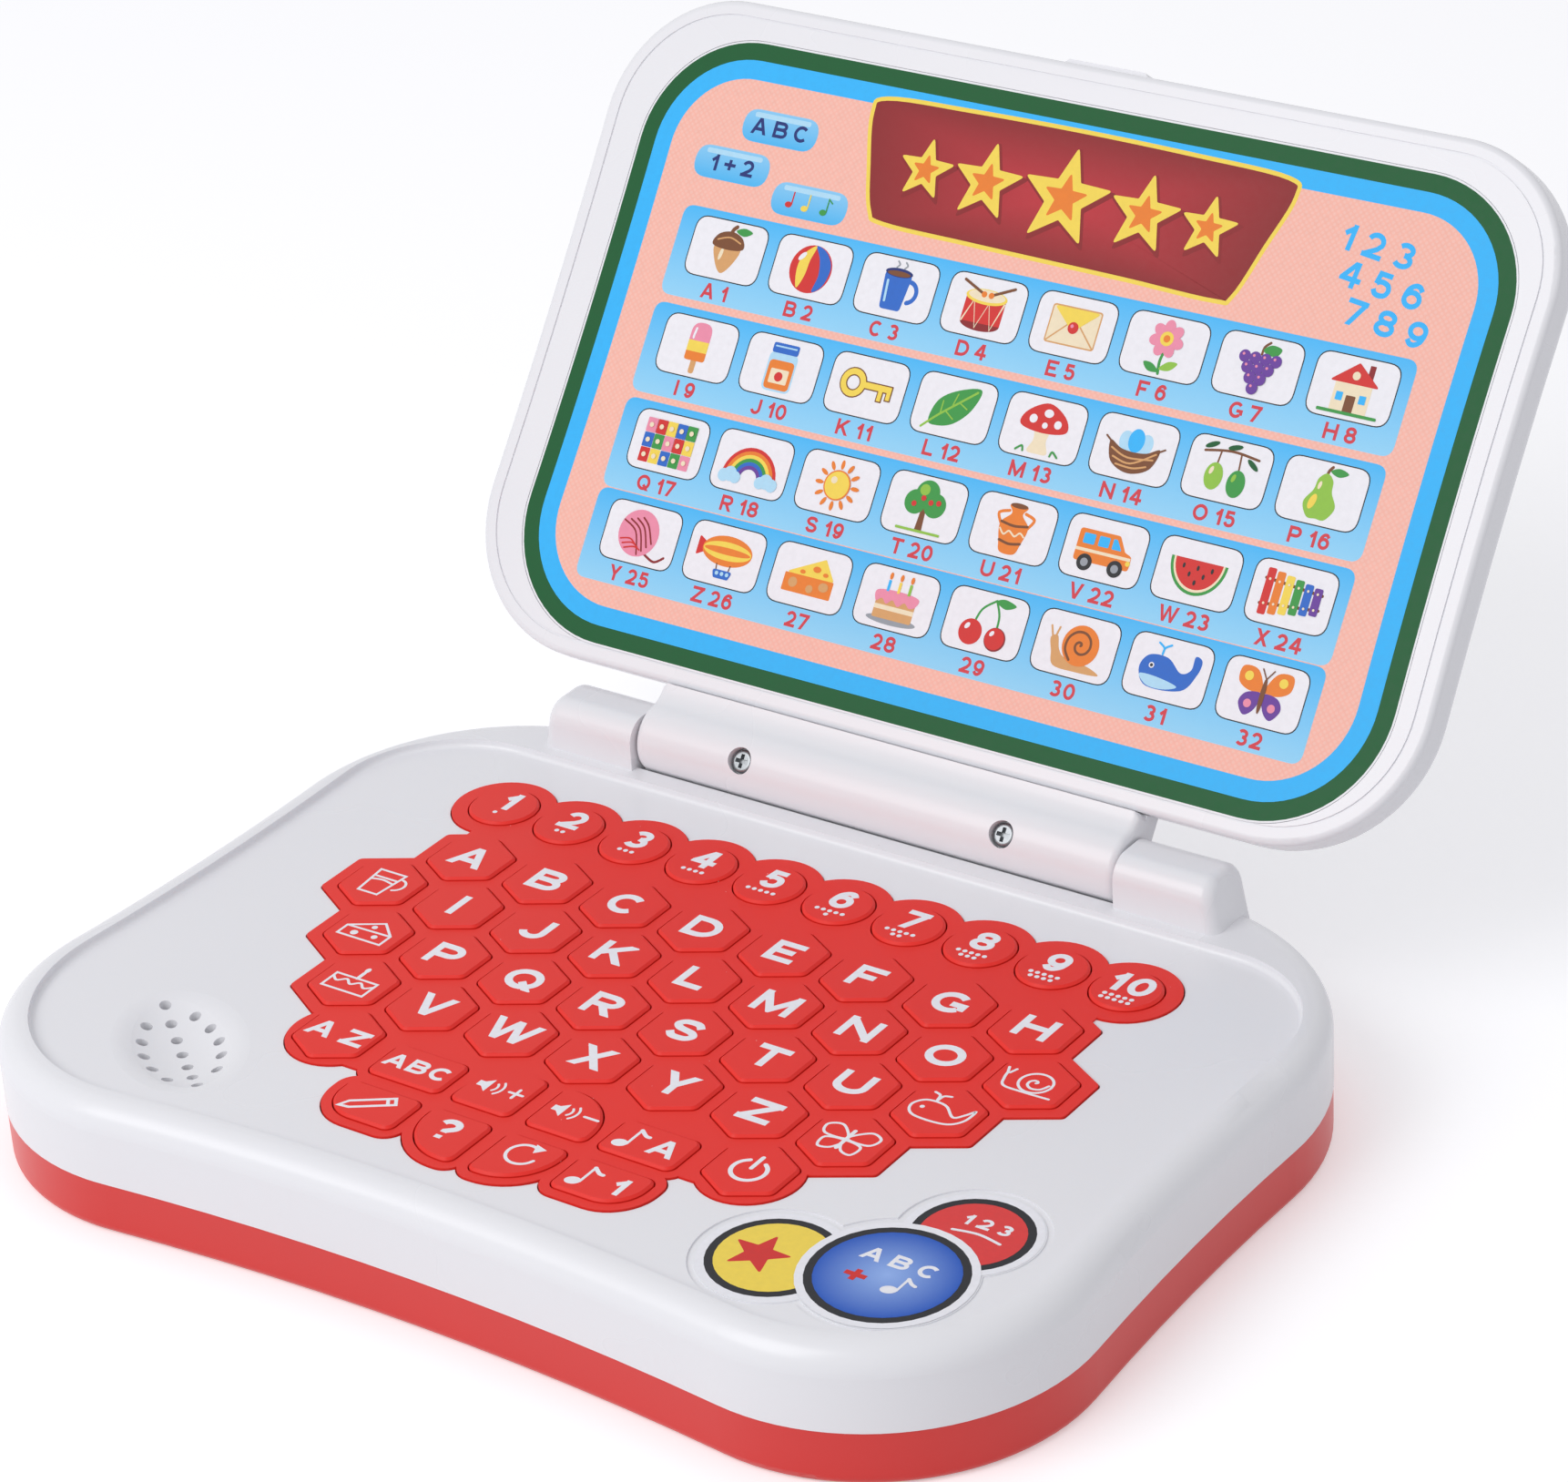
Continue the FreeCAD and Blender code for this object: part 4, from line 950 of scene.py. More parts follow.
KEY = (Line(Ink.BROWN, tuple(arc(-3.2, 0.4, 2.2, *COARSE_TURN)), 1.7, True, False),
       Poly(Ink.BROWN, rectangle((-1.2, -0.45), (5.9, 1.25)), 0.2),
       Poly(Ink.BROWN, rectangle((2.6, -2.4), (4.0, 0)), 0.15),
       Poly(Ink.BROWN, rectangle((4.5, -1.9), (5.9, 0)), 0.15),
       Line(Ink.YELLOW, tuple(arc(-3.2, 0.4, 2.2, *COARSE_TURN)), 1.2, True, False),
       Poly(Ink.YELLOW, rectangle((-1.4, -0.2), (5.65, 1.0)), 0.2),
       Poly(Ink.YELLOW, rectangle((2.85, -2.15), (3.75, 0)), 0.1),
       Poly(Ink.YELLOW, rectangle((4.75, -1.65), (5.65, 0)), 0.1))
LEAF = (Blob(Ink.GREEN, ((-4.8, -3.4), (-3.8, 0.8), (0, 3.4), (4.9, 4.4), (3.9, 0.2), (0.8, -3.0),
                         (-2.6, -4.0))),
        Line(Ink.LIME, ((-6.0, -4.8), (-3.0, -2.0), (0.6, 0.9), (4.2, 3.8)), 0.45),
        Line(Ink.LIME, ((-2.6, -1.6), (-2.6, 0.9)), 0.28), Line(Ink.LIME, ((-0.4, 0.2), (0.2, 2.7)), 0.28),
        Line(Ink.LIME, ((-1.6, -0.9), (0.4, -2.2)), 0.28), Line(Ink.LIME, ((0.9, 1.2), (2.9, 0.2)), 0.28))
MUSHROOM = (Blob(Ink.CREAM, ((-1.6, 0.4), (-1.4, -2.4), (-2.2, -4.7), (0, -5.0), (2.2, -4.7),
                             (1.4, -2.4), (1.6, 0.4))),
            Blob(Ink.RED, ((-5.0, 0), (-4.2, 2.8), (0, 4.9), (4.2, 2.8), (5.0, 0), (0, -0.9))),
            Disc(Ink.WHITE, -2.6, 1.5, 0.85), Disc(Ink.WHITE, 0.4, 3.0, 1.0, 0.8),
            Disc(Ink.WHITE, 2.9, 1.2, 0.8), Disc(Ink.WHITE, 0.2, 0.6, 0.6),
            Line(Ink.GREEN, ((-4.6, -4.9), (-3.4, -4.0), (-3.0, -4.9)), 0.4),
            Line(Ink.GREEN, ((4.6, -4.9), (3.4, -4.0), (3.0, -4.9)), 0.4))
NEST = (Disc(Ink.PALE, -2.0, 1.2, 1.6, 2.1, 12), Disc(Ink.PALE, 2.0, 1.2, 1.6, 2.1, -12),
        Disc(Ink.SKY, 0, 1.7, 1.7, 2.3),
        Blob(Ink.BROWN, ((-5.4, 0.9), (-4.2, -3.0), (0, -4.6), (4.2, -3.0), (5.4, 0.9), (2.8, -0.2),
                         (0, -0.5), (-2.8, -0.2))),
        Line(Ink.TAN, ((-4.7, -0.4), (-1.0, -1.7), (4.4, -1.2)), 0.35),
        Line(Ink.TAN, ((-4.0, -2.0), (0, -2.7), (4.8, 0.0)), 0.35),
        Line(Ink.TAN, ((-3.0, -3.3), (0.6, -3.5), (3.4, -2.7)), 0.35),
        Line(Ink.BROWN, ((-5.0, 0.6), (-6.4, 1.6)), 0.35),
        Line(Ink.BROWN, ((5.0, 0.4), (6.4, 1.2)), 0.35))
OLIVES = (Line(Ink.BROWN, ((-5.6, 3.0), (0, 3.8), (5.8, 3.2)), 0.5),
          Line(Ink.BROWN, ((-2.2, 3.4), (-2.4, 1.0)), 0.35),
          Line(Ink.BROWN, ((2.0, 3.7), (2.3, 0.4)), 0.35), Disc(Ink.LIME, -2.5, -1.4, 1.9, 2.6),
          Disc(Ink.GREEN, 2.4, -2.0, 1.9, 2.6),
          Disc(Ink.CREAM, -3.2, -0.4, 0.4, 0.8, -15), Disc(Ink.LIME, 1.7, -1.0, 0.4, 0.8, -15),
          Disc(Ink.FOREST, -4.4, 4.3, 1.5, 0.5, 25), Disc(Ink.FOREST, 0.4, 4.6, 1.5, 0.5, 15),
          Disc(Ink.FOREST, 4.8, 2.1, 1.5, 0.5, -35))
PEAR = (Line(Ink.BROWN, ((0, 3.0), (0.1, 4.2), (0.7, 5.1)), 0.6),
        Blob(Ink.LIME, ((0, 3.8), (-1.5, 2.6), (-1.9, 0.4), (-3.3, -2.2), (-1.9, -4.7), (0, -4.8),
                        (1.9, -4.7), (3.3, -2.2), (1.9, 0.4), (1.5, 2.6))),
        Blob(Ink.GREEN, ((0.5, 4.3), (2.2, 5.1), (4.2, 4.4), (2.4, 3.5))),
        Disc(Ink.YELLOW, -1.5, -1.8, 0.7, 1.5, -15),
        Disc(Ink.CREAM, -0.9, 1.4, 0.35, 0.8, -10))
QUILT = tuple(Poly((Ink.RED, Ink.YELLOW, Ink.BLUE, Ink.GREEN, Ink.PINK)[(column + row * 2) % 5],
                   rectangle((-6.0 + column * 2.4, -4.5 + row * 3.0),
                             (-3.7 + column * 2.4, -1.6 + row * 3.0)),
                   0.2)
              for row in range(3) for column in range(5))
QUILT += tuple(Disc(Ink.CREAM, -4.85 + column * 2.4, -3.05 + row * 3.0, 0.5)
               for row in range(3) for column in range(5))
RAINBOW = tuple(Line(ink, tuple(arc(0, -3.0, 5.9 - 0.72 * band, 0, 180, 16)), 0.74, False, False)
                for band, ink in enumerate(SPECTRUM))
RAINBOW += tuple(Disc(Ink.PALE, side * place, -3.2 + lift, size) for side in (-1, 1)
                 for place, lift, size in ((5.6, 0, 1.3), (4.2, 0.5, 1.5), (2.9, 0, 1.2)))
SUN = petals(Ink.ORANGE, 0, 0, 4.1, 12, (0.95, 0.42))
SUN += (Disc(Ink.ORANGE, 0, 0, 3.0), Disc(Ink.YELLOW, 0, 0, 2.7), Disc(Ink.CREAM, -0.9, 0.9, 0.7))
TREE = (Poly(Ink.BROWN, ((-0.8, -4.8), (-0.5, 0), (0.5, 0), (0.8, -4.8))),
        Disc(Ink.GREEN, -2.2, 0.6, 2.4), Disc(Ink.GREEN, 2.2, 0.6, 2.4), Disc(Ink.GREEN, 0, 2.6, 2.6),
        Disc(Ink.LIME, -0.8, 3.2, 1.1), Disc(Ink.RED, -2.4, 0.2, 0.55), Disc(Ink.RED, 1.2, 1.0, 0.55),
        Disc(Ink.RED, 2.9, 1.2, 0.55), Disc(Ink.RED, -0.6, 1.6, 0.55),
        Poly(Ink.LIME, rectangle((-5.0, -5.1), (5.0, -4.6)), 0.25))
URN = (Line(Ink.ORANGE, ((-1.8, 3.2), (-3.9, 2.4), (-3.0, 0.6)), 0.6),
       Line(Ink.ORANGE, ((1.8, 3.2), (3.9, 2.4), (3.0, 0.6)), 0.6),
       Blob(Ink.ORANGE, ((-1.9, 4.4), (-1.2, 2.8), (-3.1, 0.6), (-2.4, -2.8), (-1.5, -4.8), (1.5, -4.8),
                         (2.4, -2.8), (3.1, 0.6), (1.2, 2.8), (1.9, 4.4))),
       Disc(Ink.BROWN, 0, 4.4, 1.9, 0.5), Line(Ink.BROWN, ((-2.9, 0.9), (0, 0.5), (2.9, 0.9)), 0.5),
       Line(Ink.CREAM, ((-2.8, -0.4), (-1.7, -1.4), (-0.7, -0.6), (0.7, -1.4), (1.7, -0.6), (2.7, -1.2)),
            0.35),
       Line(Ink.BROWN, ((-2.3, -2.6), (0, -3.0), (2.3, -2.6)), 0.5))
VAN = (Poly(Ink.ORANGE, ((-6.0, -2.8), (-6.0, 3.4), (2.6, 3.4), (4.4, 0.6), (6.0, 0.0), (6.0, -2.8)), 0.7),
       Poly(Ink.CREAM, rectangle((-6.0, -0.9), (5.9, -0.3))),
       Poly(Ink.SKY, ((1.4, 2.6), (2.2, 2.6), (3.6, 0.6), (1.4, 0.6)), 0.2),
       Poly(Ink.SKY, rectangle((-1.6, 0.6), (0.7, 2.6)), 0.3),
       Poly(Ink.SKY, rectangle((-4.9, 0.6), (-2.4, 2.6)), 0.3),
       Disc(Ink.BLACK, -3.4, -2.9, 1.6), Disc(Ink.GREY, -3.4, -2.9, 0.8), Disc(Ink.BLACK, 3.2, -2.9, 1.6),
       Disc(Ink.GREY, 3.2, -2.9, 0.8), Disc(Ink.YELLOW, 5.6, -1.4, 0.5))
MELON = (Poly(Ink.GREEN, tuple(arc(0, 2.4, 6.0, 180, 360, 24, 6.6))),
         Poly(Ink.CREAM, tuple(arc(0, 2.4, 5.4, 180, 360, 24, 6.0))),
         Poly(Ink.RED, tuple(arc(0, 2.4, 5.0, 180, 360, 24, 5.5))))
MELON += tuple(Disc(Ink.BLACK, x, y, 0.28, 0.5)
               for x, y in ((-3.0, 1.0), (-1.5, -0.4), (0, 1.0), (1.5, -0.4), (3.0, 1.0), (0, -1.8)))
XYLOPHONE = (Line(Ink.BROWN, ((-6.0, -2.4), (6.0, -1.4)), 0.6),
             Line(Ink.BROWN, ((-6.0, 2.4), (6.0, 1.4)), 0.6))
XYLOPHONE += tuple(Poly(ink, rectangle((-6.0 + bar * 2.05, -4.4 + bar * 0.36),
                                       (-4.3 + bar * 2.05, 4.4 - bar * 0.36)), 0.4)
                   for bar, ink in enumerate(SPECTRUM))
XYLOPHONE += tuple(Disc(Ink.CREAM, -5.15 + bar * 2.05, side * (2.3 - bar * 0.16), 0.25)
                   for bar in range(len(SPECTRUM)) for side in (-1, 1))
YARN = (Line(Ink.MAROON, ((2.0, -3.6), (4.6, -4.6), (6.6, -3.4)), 0.5), Disc(Ink.PINK, -0.6, 0.2, 4.7))
YARN += tuple(Line(Ink.MAROON, ((-4.6 + k * 1.4, 2.2 + k * 0.4), (-1.4 + k * 0.9, 0.4 + k * 0.5),
                                (0.2 + k * 0.9, -4.0 + k * 0.9)), 0.35) for k in range(4))
YARN += tuple(Line(Ink.RED, ((-4.4 + k * 0.7, -1.6 - k * 0.8), (-2.2 + k * 0.7, -1.2 - k * 0.7),
                             (-0.6 + k * 0.6, -2.2 - k * 0.4)), 0.3) for k in range(3))
AIRSHIP = (Poly(Ink.RED, ((-6.6, 3.0), (-4.0, 1.6), (-4.0, 0.4), (-6.6, -1.0)), 0.3),
           Disc(Ink.ORANGE, 0.4, 1.0, 5.8, 3.0),
           Disc(Ink.YELLOW, 0.4, 1.0, 5.6, 1.8), Disc(Ink.ORANGE, 0.4, 1.0, 5.4, 0.7),
           Line(Ink.BROWN, ((-1.2, -1.7), (-1.0, -3.0)), 0.25),
           Line(Ink.BROWN, ((2.0, -1.7), (1.8, -3.0)), 0.25),
           Poly(Ink.BLUE, ((-1.8, -2.8), (2.8, -2.8), (2.2, -4.5), (-1.2, -4.5)), 0.5),
           Disc(Ink.PALE, -0.6, -3.5, 0.4), Disc(Ink.PALE, 0.6, -3.5, 0.4), Disc(Ink.PALE, 1.8, -3.5, 0.4))
CHEESE = (Poly(Ink.ORANGE, ((-5.6, -3.4), (-5.6, 0.2), (5.6, 0.2), (5.6, -3.4)), 0.3),
          Poly(Ink.YELLOW, ((-5.6, 0.2), (2.6, 4.2), (5.6, 0.2)), 0.3),
          Disc(Ink.TAN, -3.4, -1.5, 1.0), Disc(Ink.TAN, 0.6, -2.1, 0.8), Disc(Ink.TAN, 3.6, -1.2, 1.1, 0.9),
          Disc(Ink.ORANGE, 1.2, 1.9, 0.9, 0.6), Disc(Ink.ORANGE, -1.8, 0.9, 0.6, 0.4),
          Disc(Ink.ORANGE, 3.4, 1.2, 0.6, 0.4))
CAKE = (Disc(Ink.GREY, 0, -4.1, 5.6, 0.9), Poly(Ink.TAN, rectangle((-4.4, -4.0), (4.4, 0.6)), 0.4),
        Poly(Ink.CREAM, rectangle((-4.4, -2.3), (4.4, -1.4))),
        Blob(Ink.PINK, ((-4.6, 1.2), (-4.4, -0.9), (-3.2, -0.2), (-2.0, -1.1), (-0.8, -0.2), (0.6, -1.2),
                        (1.9, -0.2), (3.2, -1.0), (4.5, -0.4), (4.6, 1.2), (0, 1.7))))
for candle_x, candle_ink in ((-2.4, Ink.SKY), (0, Ink.YELLOW), (2.4, Ink.LIME)):
    CAKE += (Poly(candle_ink, rectangle((candle_x - 0.3, 1.3), (candle_x + 0.3, 3.5)), 0.1),
             Disc(Ink.ORANGE, candle_x, 4.3, 0.38, 0.7))
CHERRIES = (Line(Ink.GREEN, ((-2.4, -1.0), (-1.4, 2.4), (1.2, 4.6)), 0.45),
            Line(Ink.GREEN, ((2.8, -1.6), (2.6, 1.8), (1.2, 4.6)), 0.45),
            Blob(Ink.GREEN, ((1.2, 4.5), (3.0, 5.2), (5.6, 4.4), (3.4, 3.4))),
            Disc(Ink.RED, -2.6, -2.2, 2.5), Disc(Ink.MAROON, 3.0, -2.6, 2.3),
            Disc(Ink.RED, 2.9, -2.5, 2.1), Disc(Ink.WHITE, -3.5, -1.2, 0.45, 0.7, -35),
            Disc(Ink.WHITE, 2.1, -1.6, 0.4, 0.6, -35))
SNAIL = (Blob(Ink.TAN, ((6.2, -4.4), (1.0, -4.7), (-3.6, -4.4), (-4.8, -1.8), (-5.6, 0.6), (-4.2, 1.2),
                        (-3.2, -1.2), (-1.4, -2.6), (3.6, -3.2))),
         Line(Ink.TAN, ((-5.2, 0.8), (-6.0, 2.8)), 0.4), Line(Ink.TAN, ((-4.6, 1.0), (-4.2, 2.8)), 0.4),
         Disc(Ink.ORANGE, 1.0, 0.3, 3.9),
         Line(Ink.BROWN, spiral(1.0, 0.3, 0.23, 0.7, 16), 0.5))
WHALE = (Blob(Ink.BLUE, ((-6.0, -0.8), (-4.6, 2.0), (-0.6, 2.2), (2.6, 0.0), (4.6, 1.0), (4.8, 3.6),
                         (6.4, 3.0), (6.0, 0.2), (3.6, -3.2), (-3.6, -3.8))),
         Blob(Ink.PALE, ((-5.6, -1.8), (-2.0, -1.7), (2.6, -2.6), (0, -3.7), (-3.6, -3.6))),
         Disc(Ink.WHITE, -3.6, 0.2, 0.55), Disc(Ink.BLACK, -3.6, 0.2, 0.32),
         Line(Ink.SKY, ((-2.0, 2.6), (-2.0, 3.8), (-3.2, 4.6)), 0.4),
         Line(Ink.SKY, ((-2.0, 2.6), (-1.8, 3.8), (-0.6, 4.6)), 0.4))
BUTTERFLY = tuple(Blob(ink, tuple((side * x, y) for x, y in points)) for ink, points in (
    (Ink.ORANGE, ((0.2, 0.6), (2.0, 4.2), (5.2, 4.4), (5.4, 1.6), (3.0, 0.2))),
    (Ink.PURPLE, ((0.2, 0), (3.2, -0.2), (4.4, -2.2), (2.8, -4.4), (0.9, -3.0)))) for side in (-1, 1))
BUTTERFLY += tuple(Disc(ink, side * x, y, size) for ink, x, y, size in (
    (Ink.YELLOW, 3.6, 2.8, 0.9), (Ink.PINK, 2.5, -2.2, 0.8)) for side in (-1, 1))
BUTTERFLY += (Disc(Ink.BROWN, 0, -0.3, 0.5, 3.4), Line(Ink.BROWN, ((0, 2.8), (-1.2, 4.6)), 0.25),
              Line(Ink.BROWN, ((0, 2.8), (1.2, 4.6)), 0.25))
# In the order of the tiles, eight to a band
PICTURES: tuple[tuple[Shape, ...], ...] = (
    ACORN, BALL, CUP, DRUM, ENVELOPE, FLOWER, GRAPES, HOUSE,
    LOLLY, JAR, KEY, LEAF, MUSHROOM, NEST, OLIVES, PEAR,
    QUILT, RAINBOW, SUN, TREE, URN, VAN, MELON, XYLOPHONE,
    YARN, AIRSHIP, CHEESE, CAKE, CHERRIES, SNAIL, WHALE, BUTTERFLY)


# Prints


@dataclass(frozen=True)
class Plane:
    """Flat place for a print: its zero point, its two directions and its tilt from level."""

    zero: Vector
    along: Vector
    up: Vector
    tilt_deg: float = 0.0

    def at(self, x: float, y: float, height: float) -> Vector:
        """Point of the plane in metres, height millimetres above it."""
        return self.zero + (self.along * x + self.up * y + self.along.cross(self.up) * height) * MM


def top_of(node: str) -> Plane:
    """Level plane at the top of a solid, with its zero over the frame's."""
    return Plane(Vector((0, 0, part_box(node)[1].z)), Vector((1, 0, 0)), Vector((0, 1, 0)))


def runs_left(loop: Loop) -> bool:
    """Whether an outline runs counter-clockwise."""
    return sum(a[0] * b[1] - b[0] * a[1] for a, b in zip(loop, loop[1:] + loop[:1])) > 0


def steps_round(count: int) -> list[tuple[int, int]]:
    """Each place in a closed row of points, with the place after it."""
    return [(index, (index + 1) % count) for index in range(count)]


@dataclass
class Print:
    """Artwork on a plane, built as thin films of ink, with one piece for each ink."""

    name: str
    plane: Plane
    body: str
    slot: str
    film_mm: float = 0.009
    step_mm: float = 0.011
    weld_mm: float = 1e-4
    merge_m: float = 1e-9
    meshes: dict[Ink, bmesh.types.BMesh] = field(default_factory=dict)

    def mesh_of(self, ink: Ink) -> bmesh.types.BMesh:
        """Finds the mesh that collects an ink's films, or starts it.

        Args:
            ink: the ink.

        Returns:
            Its mesh, with a layer for the fade.
        """
        if ink not in self.meshes:
            self.meshes[ink] = bmesh.new()
            self.meshes[ink].verts.layers.float.new("shade")
        return self.meshes[ink]

    def film(self, ink: Ink, outer: Loop, hole: Loop | None, layer: int, centred: bool = False) -> None:
        """Adds one film.

        Args:
            ink: its ink.
            outer: its outline.
            hole: outline of the hole in it, point for point beside outer, or None.
            layer: number of films below it.
            centred: whether its fade runs from the rim to the middle and not from foot to top.
        """
        mesh = self.mesh_of(ink)
        shade = mesh.verts.layers.float["shade"]
        if not runs_left(outer):
            outer = outer[::-1]
            hole = hole[::-1] if hole else None
        low, high = layer * self.step_mm, layer * self.step_mm + self.film_mm
        foot, top = min(y for _, y in outer), max(y for _, y in outer)
        rings = []
        for loop, height in [(outer, low), (outer, high)] + ([(hole, low), (hole, high)] if hole else []):
            ring = []
            for x, y in loop:
                vert = mesh.verts.new(self.plane.at(x, y, height))
                vert[shade] = 0.0 if centred else (y - foot) / (top - foot)
                ring.append(vert)
            rings.append(ring)
        after = steps_round(len(outer))
        for i, j in after:
            mesh.faces.new((rings[0][i], rings[0][j], rings[1][j], rings[1][i]))
        if hole:
            for i, j in after:
                mesh.faces.new((rings[2][j], rings[2][i], rings[3][i], rings[3][j]))
                mesh.faces.new((rings[1][i], rings[1][j], rings[3][j], rings[3][i]))
                mesh.faces.new((rings[0][j], rings[0][i], rings[2][i], rings[2][j]))
            return
        mesh.faces.new(rings[0][::-1])
        if not centred:
            mesh.faces.new(rings[1])
            return
        middle = mesh.verts.new(sum((vert.co for vert in rings[1]), Vector()) / len(outer))
        middle[shade] = 1.0
        for i, j in after:
            mesh.faces.new((rings[1][i], rings[1][j], middle))

    def joined_film(self, ink: Ink, films: Sequence[Film], layer: int) -> None:
        """Adds one film that covers all that several outlines cover together.

        Args:
            ink: its ink.
            films: outlines that may cross, and the holes in those that are rings.
            layer: number of films below it.
        """
        corners: list[Vector] = []
        faces: list[list[int]] = []
        for outer, hole in films:
            loops = [outer]
            if hole:
                loops = [[outer[i], outer[j], hole[j], hole[i]] for i, j in steps_round(len(outer))]
            for loop in loops:
                faces.append(list(range(len(corners), len(corners) + len(loop))))
                corners += [Vector(point) for point in (loop if runs_left(loop) else loop[::-1])]
        flat, _, triangles, _, _, origins = delaunay_2d_cdt(corners, [], faces, 0, self.weld_mm)
        covered = [triangle for triangle, origin in zip(triangles, origins) if origin]
        sides = {(a, b) for one, two, three in covered for a, b in ((one, two), (two, three), (three, one))}
        mesh = self.mesh_of(ink)
        low, high = ({index: mesh.verts.new(self.plane.at(*flat[index], height)) for index, _ in sides}
                     for height in (layer * self.step_mm, layer * self.step_mm + self.film_mm))
        for triangle in covered:
            mesh.faces.new([high[index] for index in triangle])
            mesh.faces.new([low[index] for index in triangle[::-1]])
        for i, j in sides:
            if (j, i) not in sides:
                mesh.faces.new((low[i], low[j], high[j], high[i]))

    def draw(self, shapes: Sequence[Shape], move: Point = (0.0, 0.0), layer: int = 0,
             scale: float = 1.0) -> int:
        """Adds shapes, each on top of the one before.

        Args:
            shapes: shapes in the order they are printed.
            move: where the shapes' zero point lies on the plane.
            layer: number of films below the first.
            scale: how much larger the shapes are drawn.

        Returns:
            The number of films below the next shape.
        """
        def placed(loop: Loop) -> Loop:
            """A loop of a shape, scaled and put in its place."""
            return [(x * scale + move[0], y * scale + move[1]) for x, y in loop]

        for shape in shapes:
            films = [(placed(outer), placed(hole) if hole else None) for outer, hole in shape.films()]
            if len(films) > 1:
                self.joined_film(shape.ink, films, layer)
            else:
                self.film(shape.ink, *films[0], layer)
            layer += 1
        return layer

    def finish(self) -> None:
        """Turns the films of each ink into a piece that rides on the print's body."""
        for ink, mesh in self.meshes.items():
            name = f"{self.name}_{ink.name.lower()}"
            bmesh.ops.remove_doubles(mesh, verts=mesh.verts, dist=self.merge_m)
            data = bpy.data.meshes.new(name)
            mesh.to_mesh(data)
            mesh.free()
            finish = InkFinish(f"printed_ink_{ink.name.lower()}_{self.plane.tilt_deg:.0f}", ink.value,
                               FADES.get(ink), SCREENS.get(ink), self.plane.tilt_deg)
            data.materials.append(finish.material())
            piece = bpy.data.objects.new(name, data)
            bpy.context.scene.collection.objects.link(piece)
            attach(piece, self.body)
            LOG.info("%s: %s, on %s", name, finish.name, self.body)
        self.meshes.clear()


def dress(nodes: dict[str, bpy.types.Object], names: Sequence[str], finish: Finish) -> None:
    """Gives solids their finish.

    Args:
        nodes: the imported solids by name.
        names: which of them.
        finish: their finish.
    """
    for name in names:
        nodes[name].data.materials.clear()
        nodes[name].data.materials.append(finish.material())
        LOG.info("%s: %s", name, finish.name)


# Sub-assemblies


@dataclass
class Case:
    """The two case halves, what is screwed inside them, and the label on the panel."""

    label_discs: tuple[tuple[float, float, float], ...] = ((62.8, -56.7, 13.3), (87.9, -34.6, 12.5),
                                                           (82.2, -51.6, 15.7))
    rim_mm: float = 1.7
    ring_mm: float = 1.5
    edge_mm: float = 0.2

    def finish_solids(self, nodes: dict[str, bpy.types.Object]) -> None:
        """Gives the case's solids their finishes.

        Args:
            nodes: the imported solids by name.
        """
        dress(nodes, ["upper_case"], WHITE_ABS)
        dress(nodes, ["lower_case", "battery_door"], RED_ABS)
        dress(nodes, ["label_badges"], WHITE_CARD)
        dress(nodes, ["circuit_board"], BOARD_LAMINATE)
        dress(nodes, ["speaker"], SPEAKER_BLACK)
        dress(nodes, ["battery_cells"], CELL_JACKET)
        dress(nodes, ["battery_contacts"], NICKEL_STEEL)
        dress(nodes, ["case_screws", "board_screws", "battery_door_screw"], ZINC_STEEL)

    def print_label(self) -> None:
        """Prints the three discs of the label: a dark ring and a plain sign on each."""
        label = Print("label_print", top_of("label_badges"), "base", "label_film")
        fills = (Ink.YELLOW, Ink.CORAL, Ink.GLOSS)
        layer = 0
        for (x, y, radius), fill in zip(self.label_discs, fills):
            ring = radius - self.rim_mm
            card = (Disc(Ink.WHITE, 0, 0, radius - self.edge_mm), Disc(Ink.BLACK, 0, 0, ring))
            layer = label.draw(card, (x, y), layer)
            label.film(fill, arc(x, y, ring - self.ring_mm, *FINE_TURN), None, layer, True)
            layer = label.draw(self.sign(fill), (x, y), layer + 1)
        label.finish()

    def sign(self, fill: Ink) -> tuple[Shape, ...]:
        """Plain sign of a disc.

        Args:
            fill: ink of the disc, which tells it apart.

        Returns:
            Shapes about the disc's centre.
        """
        if fill is Ink.YELLOW:
            return (Poly(Ink.RED, star(-2.8, -0.2, 6.0), 0.35),)
        if fill is Ink.CORAL:
            return (Words(Ink.WHITE, 0.8, 3.6, "1 2 3", 3.0),
                    Line(Ink.WHITE, ((-3.8, -0.3), (0.9, 0.5), (5.6, -0.3)), 0.6))
        return (Words(Ink.WHITE, 0, 4.0, "A B C", 3.6), Words(Ink.RED, -4.6, -2.6, "+", 5.2),
                Disc(Ink.WHITE, 2.6, -3.6, 1.5, 1.1, 20), Line(Ink.WHITE, ((3.9, -3.3), (3.9, 0.6)), 0.5),
                Line(Ink.WHITE, ((3.9, 0.6), (5.0, -0.4), (6.0, -0.8)), 0.7))


